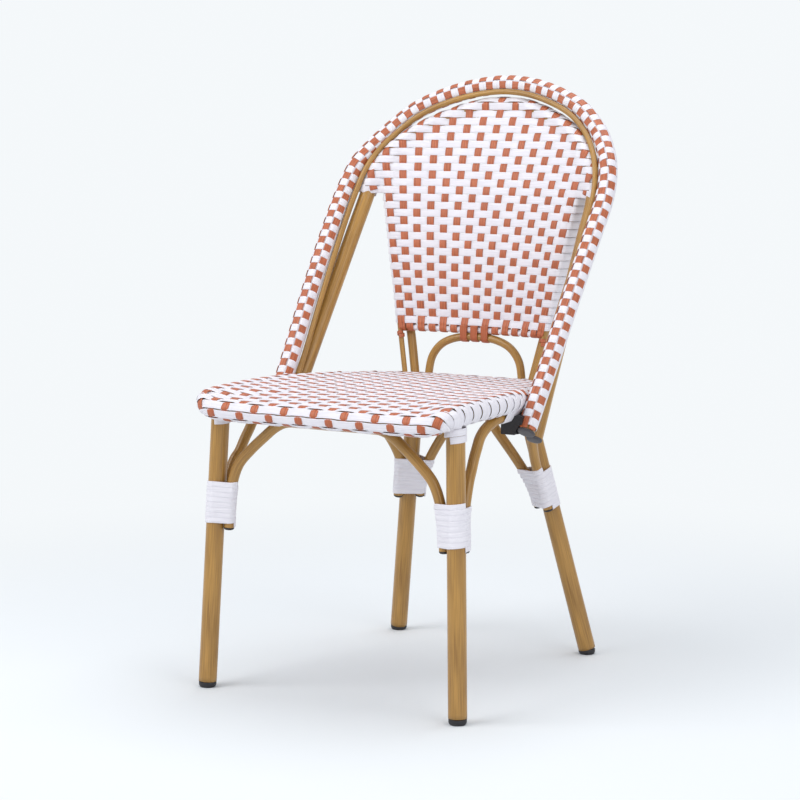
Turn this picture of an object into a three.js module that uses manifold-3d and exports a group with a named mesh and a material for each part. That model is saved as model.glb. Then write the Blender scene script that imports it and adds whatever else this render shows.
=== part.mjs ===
// A woven bistro chair on a bent aluminium tube frame: two hoops carry the back, a rounded tube ring
// carries the seat, four arched braces tie the legs, and flat plastic strand is woven over all of it.
// Millimetres, +Z up, the sitter faces -Y and +X is the sitter's left hand.
import * as THREE from 'three';
import { mergeVertices } from 'three/addons/utils/BufferGeometryUtils.js';
import Module from 'manifold-3d';

const wasm = await Module();
wasm.setup();

// Clearances and facets
const fit = 0.3;
const overrun = 30;
const roundSides = 10;
const braceSides = 8;
const thinSides = 8;
const boreSides = 6;
const stepLength = 90;
const fineTurn = Math.PI / 7.5;
const turnStep = Math.PI / 6.5;
const unit = 1;

// Tube sizes
const legRadius = 14;
const railRadius = 12.5;
const crossRadius = 11;
const stretcherRadius = 8;
const braceRadius = 8;
const outerHoopRadius = 12.5;
const innerHoopRadius = 12.5;
const spacerRadius = 4.5;
const rodRadius = 4.25;
const postRadius = 7.25;
const lumbarRadius = 6.5;
const wall = 1.6;

// Strand and weave
const strandWall = 2.5;
const seatSkin = 2;
const rollClearance = 1.5;
const sheetHalf = 2.5;
const rollSteps = 8;
const topSteps = 3;
const topShare = topSteps / rollSteps;
const rollFrom = Math.PI / 2;
const rollTo = -Math.PI * 0.72;
const rollToBrace = -Math.PI * 0.46;
const braceFrom = 125;
const braceTo = 316;
const collarFoot = 407;

// Feet and legs, measured from the line between the front feet
const frontFootHalf = 221.8;
const rearFootHalf = 180.5;
const footDepth = 501.5;
const legSpan = 425;
const frontTuck = 16.1;
const frontLean = 19.6;
const rearTuck = 80.4;
const rearLean = 78.9;
const legRise = 4.5;
const glideHeight = 9;
const glideBottom = 11.5;
const glidePlugRadius = 8.2;
const glidePlug = 8;
const glideRound = 4;

// Seat ring: half width, reach ahead of and behind the front feet, and heights of the rail's middle
const seatHalf = 213;
const seatAhead = 24;
const seatBehind = 438;
const railHeight = 435;
const crossDepth = 16;
const crossDrop = 10;
const railRise = 14.5;
const seatCrown = 459;
const stretcherDepth = 225;
const seatMiddle = 190;

// Back: a surface curved in side view and in plan, which the panel and the inner hoop's arch lie on
const backFoot = 525;
const backDepth = 444.9;
const backLeanShare = 0.0193;
const backSideRadius = 868;
const backPlanRadius = 588;

// Outer hoop: half width, lower end and crown
const outerHalf = 239.5;
const outerEndDepth = 194.3;
const outerEndHeight = 405;
const outerCrownDepth = 550.7;
const outerCrownHeight = 920.1;

// Inner hoop: half width at its ends, lower end and crown
const innerHalf = 223.8;
const innerEndDepth = 227;
const innerEndHeight = 390;
const archSetback = 9;
const archSink = 3;
const crownGap = 35.1;
const innerCrownHeight = outerCrownHeight - crownGap;
const bendShare = 0.6465;
const innerBendHeight = outerEndHeight + bendShare * (outerCrownHeight - outerEndHeight);
const spacerEndHeight = 455;
const spacerShoulder = 1.2;
const shoulderShare = 0.699;
const shoulderHeight = outerEndHeight + shoulderShare * (outerCrownHeight - outerEndHeight);
const shoulderSpread = 50;
const capFlange = 3;
const capPlug = 8;
const plugShare = 0.78;
const capRound = 1.2;

// Panel frame between the hoop and the seat
const panelFootHalf = 133.9;
const panelHeadHalf = 188.7;
const panelHeadHeight = 798;
const rodFootHalf = 115;
const rodFootDepth = 417;
const wrapHeight = 750;
const edgeSetback = 8;
const postFootHalf = 106;
const postFootDepth = 434;
const postInset = 8.5;
const postSetback = 17.5;
const lumbarHalf = 86.6;
const lumbarFootDepth = 441;
const tieWidth = 11;
const tiePitch = 19.3;
const tieWall = 1.3;
const tieRise = 8;
const tieCount = 3;

// Braces and the bindings at their ends
const frontBindingFoot = 250.3;
const rearBindingFoot = 246.3;
const bindingLength = 72;
const boundLength = 48;
const braceEndDrop = 1;
const braceCapFlange = 4;
const bindingTurns = 8;
const strandWidth = 7.4;
const strandHeight = 1.8;
const bindingClearance = 1.3;
const turnSteps = 10;
const seizingLow = 150;
const seizingHigh = 212;
const braceInset = 5;
const sideBow = 8.6;
const sideRunFront = 155;
const sideRunRear = 302;

// Hoop brackets
const bracketInner = 190;
const bracketOuter = 226;
const bracketFront = 184;
const bracketRear = 250;
const bracketLow = 400;
const bracketHigh = 429;
const screwRadius = 2.5;
const screwHeadRadius = 4.5;
const screwHeadHeight = 3;
const hoopScrewRise = 14;
const hoopScrewLength = 31;
const braceScrewLength = 22;
const braceScrewDepth = 226;

// Colours of the real finishes
const bamboo = { color: 0xaa7d3c, roughness: 0.42, metalness: 0.1 };
const shadedBamboo = { color: 0x8a6230, roughness: 0.45, metalness: 0.1 };
const whiteStrand = { color: 0xebe8f0, roughness: 0.5, metalness: 0 };
const terracottaStrand = { color: 0xc8643c, roughness: 0.45, metalness: 0 };
const blackPlastic = { color: 0x232023, roughness: 0.55, metalness: 0 };
const steel = { color: 0x9a9a9c, roughness: 0.35, metalness: 1 };

// Solids
function toSolid(geometry) {
  const bare = geometry.clone();
  bare.deleteAttribute('normal');
  bare.deleteAttribute('uv');
  const welded = mergeVertices(bare);
  const vertProperties = new Float32Array(welded.attributes.position.array);
  const triVerts = new Uint32Array(welded.index.array);
  return new wasm.Manifold(new wasm.Mesh({ numProp: 3, vertProperties, triVerts }));
}

function toGeometry(solid) {
  const mesh = solid.getMesh();
  const geometry = new THREE.BufferGeometry();
  geometry.setAttribute('position', new THREE.BufferAttribute(mesh.vertProperties, 3));
  geometry.setIndex(new THREE.BufferAttribute(mesh.triVerts, 1));
  geometry.computeVertexNormals();
  return geometry;
}

function cut(geometry, cutters) {
  let solid = toSolid(geometry);
  for (const cutter of cutters) solid = solid.subtract(toSolid(cutter));
  return toGeometry(solid);
}

function join(geometries) {
  let solid = toSolid(geometries[0]);
  for (const geometry of geometries.slice(1)) solid = solid.add(toSolid(geometry));
  return toGeometry(solid);
}

function box(low, high) {
  const size = high.clone().sub(low);
  const middle = high.clone().add(low).multiplyScalar(1 / 2);
  return new THREE.BoxGeometry(size.x, size.y, size.z).translate(middle.x, middle.y, middle.z);
}

// A curve walked in steps that are short where it bends and long where it runs straight. Pieces that
// nest on one curve share its steps
class Paced extends THREE.Curve {
  constructor(curve, turn = turnStep) {
    super();
    this.curve = curve;
    const samples = 240;
    const run = curve.getLength() / samples;
    this.cost = [0];
    let before = curve.getTangentAt(0);
    for (let i = 1; i <= samples; i += 1) {
      const along = curve.getTangentAt(i / samples);
      this.cost.push(this.cost[i - 1] + run / stepLength + along.angleTo(before) / turn);
      before = along;
    }
    this.steps = curve.isLineCurve3 ? 1 : Math.ceil(this.cost[samples]);
  }

  placeOf(share) {
    const cost = this.cost;
    const goal = share * cost[cost.length - 1];
    let i = 1;
    while (i < cost.length - 1 && cost[i] < goal) i += 1;
    return (i - 1 + (goal - cost[i - 1]) / (cost[i] - cost[i - 1])) / (cost.length - 1);
  }

  getPointAt(share, target) {
    return this.curve.getPointAt(this.placeOf(share), target);
  }

  getTangentAt(share, target) {
    return this.curve.getTangentAt(this.placeOf(share), target);
  }
}

// A stretch of a paced curve, between two of its own steps
class Stretch extends THREE.Curve {
  constructor(whole, first, last) {
    super();
    this.whole = whole;
    this.first = first;
    this.steps = last - first;
  }

  getPointAt(share, target) {
    return this.whole.getPointAt((this.first + this.steps * share) / this.whole.steps, target);
  }

  getTangentAt(share, target) {
    return this.whole.getTangentAt((this.first + this.steps * share) / this.whole.steps, target);
  }
}

function circle(radius, corners, turn) {
  const points = [];
  for (let i = 0; i < corners; i += 1) {
    const angle = turn * Math.PI * 2 * i / corners;
    points.push(new THREE.Vector2(radius * Math.cos(angle), radius * Math.sin(angle)));
  }
  return points;
}

// A round tube along a curve; with a bore it is hollow and open at both ends
function tube(curve, radius, bore = 0, corners = roundSides, boreCorners = corners) {
  const outline = new THREE.Shape(circle(radius, corners, 1));
  if (bore > 0) outline.holes.push(new THREE.Path(circle(bore, boreCorners, -1)));
  const paced = curve.steps ? curve : new Paced(curve);
  return new THREE.ExtrudeGeometry(outline, {
    extrudePath: paced, steps: paced.steps, bevelEnabled: false,
  });
}

// A frame tube with its own wall
function pipe(curve, radius) {
  return tube(curve, radius, radius - wall, radius > braceRadius ? roundSides : braceSides, boreSides);
}

function line(from, to) {
  return new THREE.LineCurve3(from, to);
}

function smooth(points) {
  return new THREE.CatmullRomCurve3(points, false, 'centripetal');
}

function v(x, y, z) {
  return new THREE.Vector3(x, y, z);
}

function mirrored(points) {
  return points.map((p) => v(-p.x, p.y, p.z));
}

// A left-right symmetric run: its left half's points from the end to the middle, and their mirror image
function symmetric(half) {
  return [...half, ...mirrored(half.slice(0, -1)).reverse()];
}

// Cap or plug: a turned piece whose face looks along a direction, seated on a tube's end
function turnedCap(seat, direction, flangeRadius, plugRadius, flange, plug, round) {
  const profile = [
    new THREE.Vector2(0, -plug),
    new THREE.Vector2(plugRadius, -plug),
    new THREE.Vector2(plugRadius, 0),
    new THREE.Vector2(flangeRadius, 0),
    new THREE.Vector2(flangeRadius - round, flange),
    new THREE.Vector2(0, flange),
  ];
  const cap = new THREE.LatheGeometry(profile, thinSides);
  cap.applyQuaternion(new THREE.Quaternion().setFromUnitVectors(v(0, unit, 0), direction));
  return cap.translate(seat.x, seat.y, seat.z);
}

const sides = [['left', 1], ['right', -1]];

// Legs: straight tubes from the floor to the seat ring
function frontLegAt(side, height) {
  const share = height / legSpan;
  return v(side * (frontFootHalf - frontTuck * share), frontLean * share, height);
}

function rearLegAt(side, height) {
  const share = height / legSpan;
  return v(side * (rearFootHalf - rearTuck * share), footDepth - rearLean * share, height);
}

// Seat ring: the middle line of the rail round the seat, as shares of half width, depth and rise
const ringShares = [
  [0, 0, 0], [0.587, 0, 0], [0.873, 0, 0.12], [0.937, 0.008, 0.4], [0.983, 0.03, 0.7], [1, 0.06, 0.85],
  [1, 0.186, 0.97], [1, 0.301, 1], [0.967, 0.455, 0.97], [0.906, 0.587, 0.83],
  [0.831, 0.719, 0.62], [0.746, 0.84, 0.38], [0.643, 0.927, 0.2], [0.507, 0.982, 0.07],
  [0.329, 1, 0.03], [0, 1, 0.03],
];

function ringPoint([across, deep, rise], side) {
  const depth = -seatAhead + deep * (seatAhead + seatBehind);
  return v(side * across * seatHalf, depth, railHeight + rise * railRise);
}

const ringHalf = ringShares.map((share) => ringPoint(share, unit));
const ringBack = mirrored(ringHalf.slice(1, -1)).reverse();
const ring = new THREE.CatmullRomCurve3([...ringHalf, ...ringBack], true, 'centripetal');
ring.arcLengthDivisions = 1200;
const ringLength = ring.getLength();
const pacedRing = new Paced(ring);
const ringSteps = pacedRing.steps;

// Place on the ring beside a given depth, on the sitter's left half
function ringAt(depth) {
  let low = seatAhead / ringLength;
  let high = 1 / 2;
  for (let i = 0; i < 40; i += 1) {
    const middle = (low + high) / 2;
    if (ring.getPointAt(middle).y < depth) low = middle;
    else high = middle;
  }
  return ring.getPointAt(low);
}

const legTopFront = ringAt(frontLean).z - railRadius + legRise;
const legTopRear = ring.getPointAt(1 / 2).z - railRadius + legRise;

// Front rail: the straight tube along the seat's front edge. Bow: the rest of the ring, bent from one tube
const frontEnd = pacedRing.getPointAt(1 / ringSteps);
const frontRailHalf = frontEnd.x - fit;
const frontRailLine = line(
  v(-frontRailHalf, -seatAhead, railHeight), v(frontRailHalf, -seatAhead, railHeight),
);
const bowLine = new Stretch(pacedRing, 1, ringSteps - 1);

// The whole ring as a cutter, swept over the same steps as the bow
function ringCutter(radius) {
  return join([
    tube(bowLine, radius),
    tube(frontRailLine, radius),
  ]);
}

// Back surface: depth of the woven back at a place across and up
function backAt(across, height) {
  const up = height - backFoot;
  return backDepth + backLeanShare * up + (up * up) / (2 * backSideRadius)
    - (across * across) / (2 * backPlanRadius);
}

// Outer hoop's middle line, as shares of half width, depth and height from its lower end to its crown
const outerShares = [
  [0.949, 0, 0], [0.958, 0.095, 0.097], [0.966, 0.18, 0.184], [0.985, 0.364, 0.379], [0.999, 0.559, 0.573],
  [1, 0.641, 0.65], [0.983, 0.701, 0.714], [0.962, 0.731, 0.748], [0.922, 0.773, 0.782],
  [0.857, 0.822, 0.824], [0.792, 0.858, 0.858], [0.635, 0.912, 0.92], [0.46, 0.948, 0.958],
  [0.314, 0.973, 0.98], [0.166, 0.992, 0.994], [0, 1, 1],
];

const outerHoopHalf = outerShares.map(([across, deep, up]) => v(
  -across * outerHalf,
  outerEndDepth + deep * (outerCrownDepth - outerEndDepth),
  outerEndHeight + up * (outerCrownHeight - outerEndHeight),
));
const outerHoop = smooth(symmetric(outerHoopHalf));
const outerHoopSteps = new Paced(outerHoop, fineTurn);

// Inner hoop: straight reclined ends in shares of the rise to the bend, then an arch on the back surface
const innerFootShares = [[1, 0], [0.993, 0.102], [0.98, 0.306], [0.961, 0.598], [0.945, 0.845]];
const innerArchShares = [
  [0.934, 0], [0.92, 0.134], [0.886, 0.289], [0.826, 0.436], [0.728, 0.597], [0.584, 0.752],
  [0.402, 0.876], [0.203, 0.97], [0, 1],
];
const innerBendDepth = backAt(innerHalf * innerArchShares[0][0], innerBendHeight) + archSetback;

const innerHoopHalf = [
  ...innerFootShares.map(([across, up]) => v(
    -across * innerHalf,
    innerEndDepth + up * (innerBendDepth - innerEndDepth),
    innerEndHeight + up * (innerBendHeight - innerEndHeight),
  )),
  ...innerArchShares.map(([across, up]) => {
    const height = innerBendHeight + up * (innerCrownHeight - innerBendHeight);
    const depth = backAt(across * innerHalf, height) + archSetback + archSink * up;
    return v(-across * innerHalf, depth, height);
  }),
];
const innerHoop = smooth(symmetric(innerHoopHalf));
const innerHoopSteps = new Paced(innerHoop, fineTurn);

// Share of a hoop's length at which its left side reaches a height
function hoopShare(hoop, height) {
  let low = 0;
  let high = 1 / 2;
  for (let i = 0; i < 40; i += 1) {
    const middle = (low + high) / 2;
    if (hoop.getPointAt(middle).z < height) low = middle;
    else high = middle;
  }
  return low;
}

// Spacer rod: lies in the valley between the hoops, inside and behind the outer hoop low down, and in
// front of it at the crown, always against the outer hoop's woven sleeve except at its rounder shoulders.
// Its place round the outer hoop: shares of the hoop's rise, and of a half turn from straight inward
const bandRadius = outerHoopRadius + fit + strandWall;
const spacerTurnShares = [[0.097, 0.233], [0.25, 0.15], [0.38, 0.122], [0.49, 0.1], [0.6, 0.05],
  [0.72, -0.017], [0.825, -0.117], [1, -0.117]];

function spacerTurn(height) {
  const up = (height - outerEndHeight) / (outerCrownHeight - outerEndHeight);
  let i = 1;
  while (i < spacerTurnShares.length - 1 && spacerTurnShares[i][0] < up) i += 1;
  const [low, from] = spacerTurnShares[i - 1];
  const [high, to] = spacerTurnShares[i];
  return Math.PI * (from + (to - from) * (up - low) / (high - low));
}

function spacerPoint(share) {
  const at = outerHoop.getPointAt(share);
  const along = outerHoop.getTangentAt(share);
  const rear = v(0, outerCrownHeight - outerEndHeight, outerEndDepth - outerCrownDepth).normalize();
  const inward = new THREE.Vector3().crossVectors(rear, along).normalize();
  const behind = new THREE.Vector3().crossVectors(along, inward).normalize();
  const angle = spacerTurn(at.z);
  const bulge = spacerShoulder * Math.exp(-(((at.z - shoulderHeight) / shoulderSpread) ** 2));
  const reach = bandRadius + fit + spacerRadius + bulge;
  return at.addScaledVector(inward, reach * Math.cos(angle)).addScaledVector(behind, reach * Math.sin(angle));
}

function spacerLine() {
  const from = hoopShare(outerHoop, spacerEndHeight);
  const count = 36;
  const points = [];
  for (let i = 0; i <= count; i += 1) points.push(spacerPoint(from + (1 - 2 * from) * i / count));
  return smooth(points);
}

// Panel rods: up the panel's two sides from the seat ring to the inner hoop, in shares of their spread, rise
// and of the edge's setback behind the back surface
const rodShares = [[0, 0, 0], [0.185, 0.205, 0.85], [0.38, 0.41, 1], [0.585, 0.615, 1], [0.805, 0.824, 0.75],
  [1, 1, 0.25]];

function rodPlace([spread, up, back]) {
  const across = panelFootHalf + spread * (panelHeadHalf - panelFootHalf);
  const height = backFoot + up * (panelHeadHeight - backFoot);
  return v(across, backAt(across, height) + back * edgeSetback, height);
}

function rodLine(side) {
  const points = [v(side * rodFootHalf, rodFootDepth, railHeight)];
  for (const share of rodShares) points.push(rodPlace(share).multiply(v(side, unit, unit)));
  return smooth(points);
}

// Bottom rail of the panel: a rod curved in plan between the two side rods
function bottomRailLine(reach) {
  const points = [];
  const count = 8;
  for (let i = 0; i <= count; i += 1) {
    const across = reach * (2 * i / count - 1);
    points.push(v(across, backAt(across, backFoot), backFoot));
  }
  return smooth(points);
}

// Rear posts: stand on the seat ring and run up behind the side rods to the inner hoop, in shares of
// their inset from the rod and of their setback behind it
const postShares = [[1, 1], [0.21, 0.857], [-0.24, 0.77], [-0.34, 0.743], [-0.16, 0.714], [0.21, 0.714]];

function postLine(side) {
  const points = [v(side * postFootHalf, postFootDepth, railHeight)];
  postShares.forEach(([inset, back], i) => {
    const rod = rodPlace(rodShares[i]);
    points.push(v(side * (rod.x - postInset * inset), rod.y + postSetback * back, rod.z));
  });
  return smooth(points);
}

// Lumbar arch under the panel: shares of half width and of its rise
const lumbarShares = [[1, 0], [0.993, 0.23], [0.924, 0.56], [0.739, 0.81], [0.439, 0.955], [0, 1]];

function lumbarLine() {
  const crown = backFoot - rodRadius - lumbarRadius - fit;
  const foot = railHeight;
  return smooth(symmetric(lumbarShares.map(([across, up]) => v(
    -across * lumbarHalf,
    lumbarFootDepth + up * (backDepth - lumbarFootDepth),
    foot + up * (crown - foot),
  ))));
}

// Braces: one bent tube from leg to leg on each side, its crown against a rail, its ends bound to the legs
const braceReach = legRadius + braceRadius + 2 * fit;
const frontEndHeight = frontBindingFoot - braceEndDrop;
const rearEndHeight = rearBindingFoot - braceEndDrop;
const crossHeight = ringAt(crossDepth).z - crossDrop;
const frontCrown = crossHeight - crossRadius - braceRadius - fit;
const rearCrown = ring.getPointAt(1 / 2).z - railRadius - braceRadius - fit;

// Shares of the way from the leg's side to the chair's middle, and of the rise
const frontBraceShares = [[0, 0], [0.012, 0.22], [0.042, 0.42], [0.104, 0.585], [0.212, 0.715],
  [0.34, 0.84], [0.46, 0.945], [0.56, 0.993], [0.7, 1], [1, 1]];
const rearBraceShares = [[0, 0], [0.031, 0.097], [0.108, 0.231], [0.193, 0.33], [0.33, 0.469],
  [0.471, 0.597], [0.614, 0.72], [0.753, 0.853], [0.865, 0.947], [1, 1]];

function frontBraceLine() {
  const start = frontLegAt(unit, frontEndHeight).x - braceReach;
  return smooth(symmetric(frontBraceShares.map(([inward, up]) => v(
    -start * (1 - inward), crossDepth, frontEndHeight + up * (frontCrown - frontEndHeight),
  ))));
}

function rearBraceLine() {
  const start = rearLegAt(unit, rearEndHeight).x - braceReach;
  return smooth(symmetric(rearBraceShares.map(([inward, up]) => {
    const height = rearEndHeight + up * (rearCrown - rearEndHeight);
    const depth = rearLegAt(unit, height).y;
    return v(-start * (1 - inward), depth + (seatBehind - depth) * up ** 3, height);
  })));
}

// Side braces follow the ring under its rail and drop to the legs at both ends, where they run beside
// the leg for the bound length. The drops are shares of the bow inward, of the way along and of the rise
const sideFrontShares = [[0.24, 0.157, 0.363], [0.5, 0.259, 0.47], [0.65, 0.36, 0.607], [0.74, 0.452, 0.713],
  [0.78, 0.537, 0.812], [0.68, 0.663, 0.896], [0.28, 0.831, 0.964]];
const sideRearShares = [[0.5, 0.04, 0.1], [0.93, 0.16, 0.285], [1, 0.32, 0.495], [0.81, 0.5, 0.697],
  [0.44, 0.7, 0.866], [0.12, 0.87, 0.966]];
const sideRunShares = [0, 0.2, 0.48, 0.75, 1];
const sideRearTurnShare = 0.27;

// Middle of the side brace where it lies under the rail, a little inboard of it
function underRail(depth) {
  const at = ringAt(depth);
  const apart = railRadius + braceRadius + fit;
  return v(at.x - braceInset, at.y, at.z - Math.sqrt(apart ** 2 - braceInset ** 2));
}

function sideDrop(legAt, endHeight, away, rail, shares) {
  const beside = [0, boundLength / 2, boundLength].map((up) => (
    legAt(unit, endHeight + up).addScaledVector(away, braceReach)));
  const from = beside[beside.length - 1];
  return [...beside, ...shares.map(([inward, along, up]) => v(
    from.x + (rail.x - from.x) * along - sideBow * inward,
    from.y + (rail.y - from.y) * along,
    from.z + (rail.z - from.z) * up,
  ))];
}

function sideBraceLine(side) {
  const run = sideRunShares.map((share) => underRail(sideRunFront + (sideRunRear - sideRunFront) * share));
  const rearTurn = v(sideRearTurnShare, -Math.sqrt(1 - sideRearTurnShare ** 2), 0);
  const points = [
    ...sideDrop(frontLegAt, frontEndHeight, v(0, unit, 0), run[0], sideFrontShares),
    ...run,
    ...sideDrop(rearLegAt, rearEndHeight, rearTurn, run[run.length - 1], sideRearShares).reverse(),
  ];
  return smooth(side > 0 ? points : mirrored(points));
}

const frontBrace = frontBraceLine();
const rearBrace = rearBraceLine();
const sideBraces = { 1: sideBraceLine(1), '-1': sideBraceLine(-1) };

// End caps on a tube's two ends, or on one of them
function capOn(curve, atEnd, radius, flangeRadius, flange) {
  const share = atEnd ? 1 : 0;
  const outward = curve.getTangentAt(share).multiplyScalar(atEnd ? 1 : -1);
  const seat = curve.getPointAt(share).addScaledVector(outward, fit);
  return turnedCap(seat, outward, flangeRadius, (radius - wall) * plugShare, flange, capPlug, capRound);
}

// Leg tube: cut level at the foot and the top, its head shaped round the rail
function leg(legAt, side, top, railCutter) {
  const low = legAt(side, -overrun);
  const high = legAt(side, legSpan + overrun);
  const whole = pipe(line(low, high), legRadius);
  const wide = 2 * frontFootHalf;
  const under = box(v(-wide, -wide, -2 * overrun), v(wide, 2 * wide, glideHeight + fit));
  const over = box(v(-wide, -wide, top), v(wide, 2 * wide, legSpan + 3 * overrun));
  return cut(whole, [under, over, railCutter]);
}

// Foot glide: turned plastic foot with a flat sole and a plug up the leg's bore
function glide(legAt, side) {
  const seat = legAt(side, glideHeight);
  const profile = [
    new THREE.Vector2(0, 0),
    new THREE.Vector2(glideBottom, 0),
    new THREE.Vector2(legRadius - wall / 2, glideRound),
    new THREE.Vector2(legRadius - wall / 2, glideHeight),
    new THREE.Vector2(glidePlugRadius, glideHeight),
    new THREE.Vector2(glidePlugRadius, glideHeight + glidePlug),
    new THREE.Vector2(0, glideHeight + glidePlug),
  ];
  const turned = new THREE.LatheGeometry(profile, roundSides);
  return turned.rotateX(Math.PI / 2).translate(seat.x, seat.y, 0);
}

// Grid between two functions of (u, w): closed round u, gathered to a point at w = 0 and joined at w = 1
function shell(outside, inside, around, along) {
  const positions = [];
  const index = [];
  const layers = [outside, inside];
  const start = [];
  for (const layer of layers) {
    start.push(positions.length / 3);
    const pole = layer(0, 0);
    positions.push(pole.x, pole.y, pole.z);
    for (let j = 1; j <= along; j += 1) {
      for (let i = 0; i < around; i += 1) {
        const p = layer(i / around, j / along);
        positions.push(p.x, p.y, p.z);
      }
    }
  }
  const at = (layer, i, j) => start[layer] + 1 + (j - 1) * around + (i % around);
  for (let i = 0; i < around; i += 1) {
    index.push(start[0], at(0, i, 1), at(0, i + 1, 1));
    index.push(start[1], at(1, i + 1, 1), at(1, i, 1));
    for (let j = 1; j < along; j += 1) {
      index.push(at(0, i, j), at(0, i, j + 1), at(0, i + 1, j + 1));
      index.push(at(0, i, j), at(0, i + 1, j + 1), at(0, i + 1, j));
      index.push(at(1, i, j), at(1, i + 1, j + 1), at(1, i, j + 1));
      index.push(at(1, i, j), at(1, i + 1, j), at(1, i + 1, j + 1));
    }
    index.push(at(0, i, along), at(1, i, along), at(1, i + 1, along));
    index.push(at(0, i, along), at(1, i + 1, along), at(0, i + 1, along));
  }
  const geometry = new THREE.BufferGeometry();
  geometry.setAttribute('position', new THREE.Float32BufferAttribute(positions, 3));
  geometry.setIndex(index);
  return geometry;
}

// Seat weave: a sheet across the ring that rolls over the rail and tucks in under it
function seatPoint(radius, drop) {
  return (around, along) => {
    const at = pacedRing.getPointAt(around);
    const tangent = pacedRing.getTangentAt(around);
    const out = v(tangent.y, -tangent.x, 0).normalize();
    if (along <= topShare) {
      const share = along / topShare;
      const rim = at.z + radius;
      return v(
        at.x * share,
        seatMiddle + (at.y - seatMiddle) * share,
        seatCrown - drop + (rim - seatCrown + drop) * share ** 3,
      );
    }
    const end = at.y > braceFrom && at.y < braceTo ? rollToBrace : rollTo;
    const turn = rollFrom + (end - rollFrom) * (along - topShare) / (1 - topShare);
    return at.addScaledVector(out, radius * Math.cos(turn)).add(v(0, 0, radius * Math.sin(turn)));
  };
}

const rollRadius = railRadius + rollClearance + seatSkin;

// The strand also binds each side brace's crown to the rail above it, where the roll leaves it free
function seizing(side, extra) {
  const points = [];
  const count = 6;
  for (let i = 0; i <= count; i += 1) {
    const at = underRail(seizingLow + (seizingHigh - seizingLow) * i / count);
    points.push(v(side * at.x, at.y, at.z));
  }
  return tube(smooth(points), braceRadius + fit + strandWall + extra, 0, braceSides);
}

// Strands wound round each front leg's head, below the rail
function collar(side) {
  const head = line(frontLegAt(side, collarFoot), frontLegAt(side, legTopFront));
  return tube(head, legRadius + fit + strandWall);
}

function seatWeave(cutters) {
  const over = seatPoint(rollRadius, 0);
  const under = seatPoint(rollRadius - seatSkin, seatSkin);
  const skin = shell(over, under, ringSteps, rollSteps);
  const wound = sides.flatMap(([, side]) => [seizing(side, 0), collar(side)]);
  return cut(join([skin, ...wound]), cutters);
}

// Panel weave: a sheet on the back surface inside the rods and the hoop, with a sleeve round each of them
function panelSheet() {
  const columns = 8;
  const rows = 8;
  const wide = innerHalf + overrun;
  const low = backFoot - overrun;
  const high = innerCrownHeight + overrun;
  const positions = [];
  const index = [];
  for (const face of [-sheetHalf, sheetHalf]) {
    for (let j = 0; j <= rows; j += 1) {
      for (let i = 0; i <= columns; i += 1) {
        const across = wide * (2 * i / columns - 1);
        const height = low + (high - low) * j / rows;
        positions.push(across, backAt(across, height) + face, height);
      }
    }
  }
  const row = columns + 1;
  const layer = row * (rows + 1);
  const quad = (a, b, c, d) => index.push(a, b, c, a, c, d);
  for (let j = 0; j < rows; j += 1) {
    for (let i = 0; i < columns; i += 1) {
      const a = j * row + i;
      quad(a, a + 1, a + row + 1, a + row);
      quad(a + layer, a + layer + row, a + layer + row + 1, a + layer + 1);
    }
  }
  for (let i = 0; i < columns; i += 1) {
    const top = rows * row + i;
    quad(i, i + layer, i + layer + 1, i + 1);
    quad(top, top + 1, top + layer + 1, top + layer);
  }
  for (let j = 0; j < rows; j += 1) {
    const left = j * row;
    const right = left + columns;
    quad(left, left + row, left + row + layer, left + layer);
    quad(right, right + layer, right + row + layer, right + row);
  }
  const geometry = new THREE.BufferGeometry();
  geometry.setAttribute('position', new THREE.Float32BufferAttribute(positions, 3));
  geometry.setIndex(index);
  return geometry;
}

// The panel's outline seen from the front, on the middle lines of its rods and of the hoop's arch
function panelPrism() {
  const side = [];
  for (const share of rodShares) {
    const rod = rodPlace(share);
    if (rod.z < wrapHeight) side.push([rod.x, rod.z]);
  }
  const lowestWrap = hoopShare(innerHoop, wrapHeight);
  const count = 24;
  for (let i = 0; i <= count; i += 1) {
    const at = innerHoop.getPointAt(lowestWrap + (1 / 2 - lowestWrap) * i / count);
    side.push([-at.x, at.z]);
  }
  const outline = new THREE.Shape();
  side.forEach(([x, z], i) => (i === 0 ? outline.moveTo(x, z) : outline.lineTo(x, z)));
  [...side].reverse().slice(1).forEach(([x, z]) => outline.lineTo(-x, z));
  const deep = backAt(0, innerCrownHeight) + overrun;
  const prism = new THREE.ExtrudeGeometry(outline, { depth: deep, bevelEnabled: false });
  return prism.rotateX(Math.PI / 2).translate(0, deep + overrun, 0);
}

function panelWeave(sideTubes, bottomRail, cutters) {
  const sheet = toSolid(panelSheet()).intersect(toSolid(panelPrism()));
  const steps = innerHoopSteps.steps;
  let first = 0;
  while (innerHoopSteps.getPointAt(first / steps).z < wrapHeight) first += 1;
  const arch = new Stretch(innerHoopSteps, first, steps - first);
  let solid = sheet.add(toSolid(tube(arch, innerHoopRadius + fit + strandWall)));
  for (const [curve, radius, corners] of sideTubes) {
    const paced = new Paced(curve);
    let low = 0;
    while (paced.getPointAt(low / paced.steps).z < backFoot - rodRadius) low += 1;
    const sleeve = new Stretch(paced, low, paced.steps - 1);
    solid = solid.add(toSolid(tube(sleeve, radius + fit + strandWall, 0, corners)));
  }
  solid = solid.add(toSolid(tube(bottomRail, rodRadius + fit + strandWall, 0, boreSides)));
  for (const cutter of cutters) solid = solid.subtract(toSolid(cutter));
  return toGeometry(solid);
}

const lumbar = new Paced(lumbarLine(), fineTurn);

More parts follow.
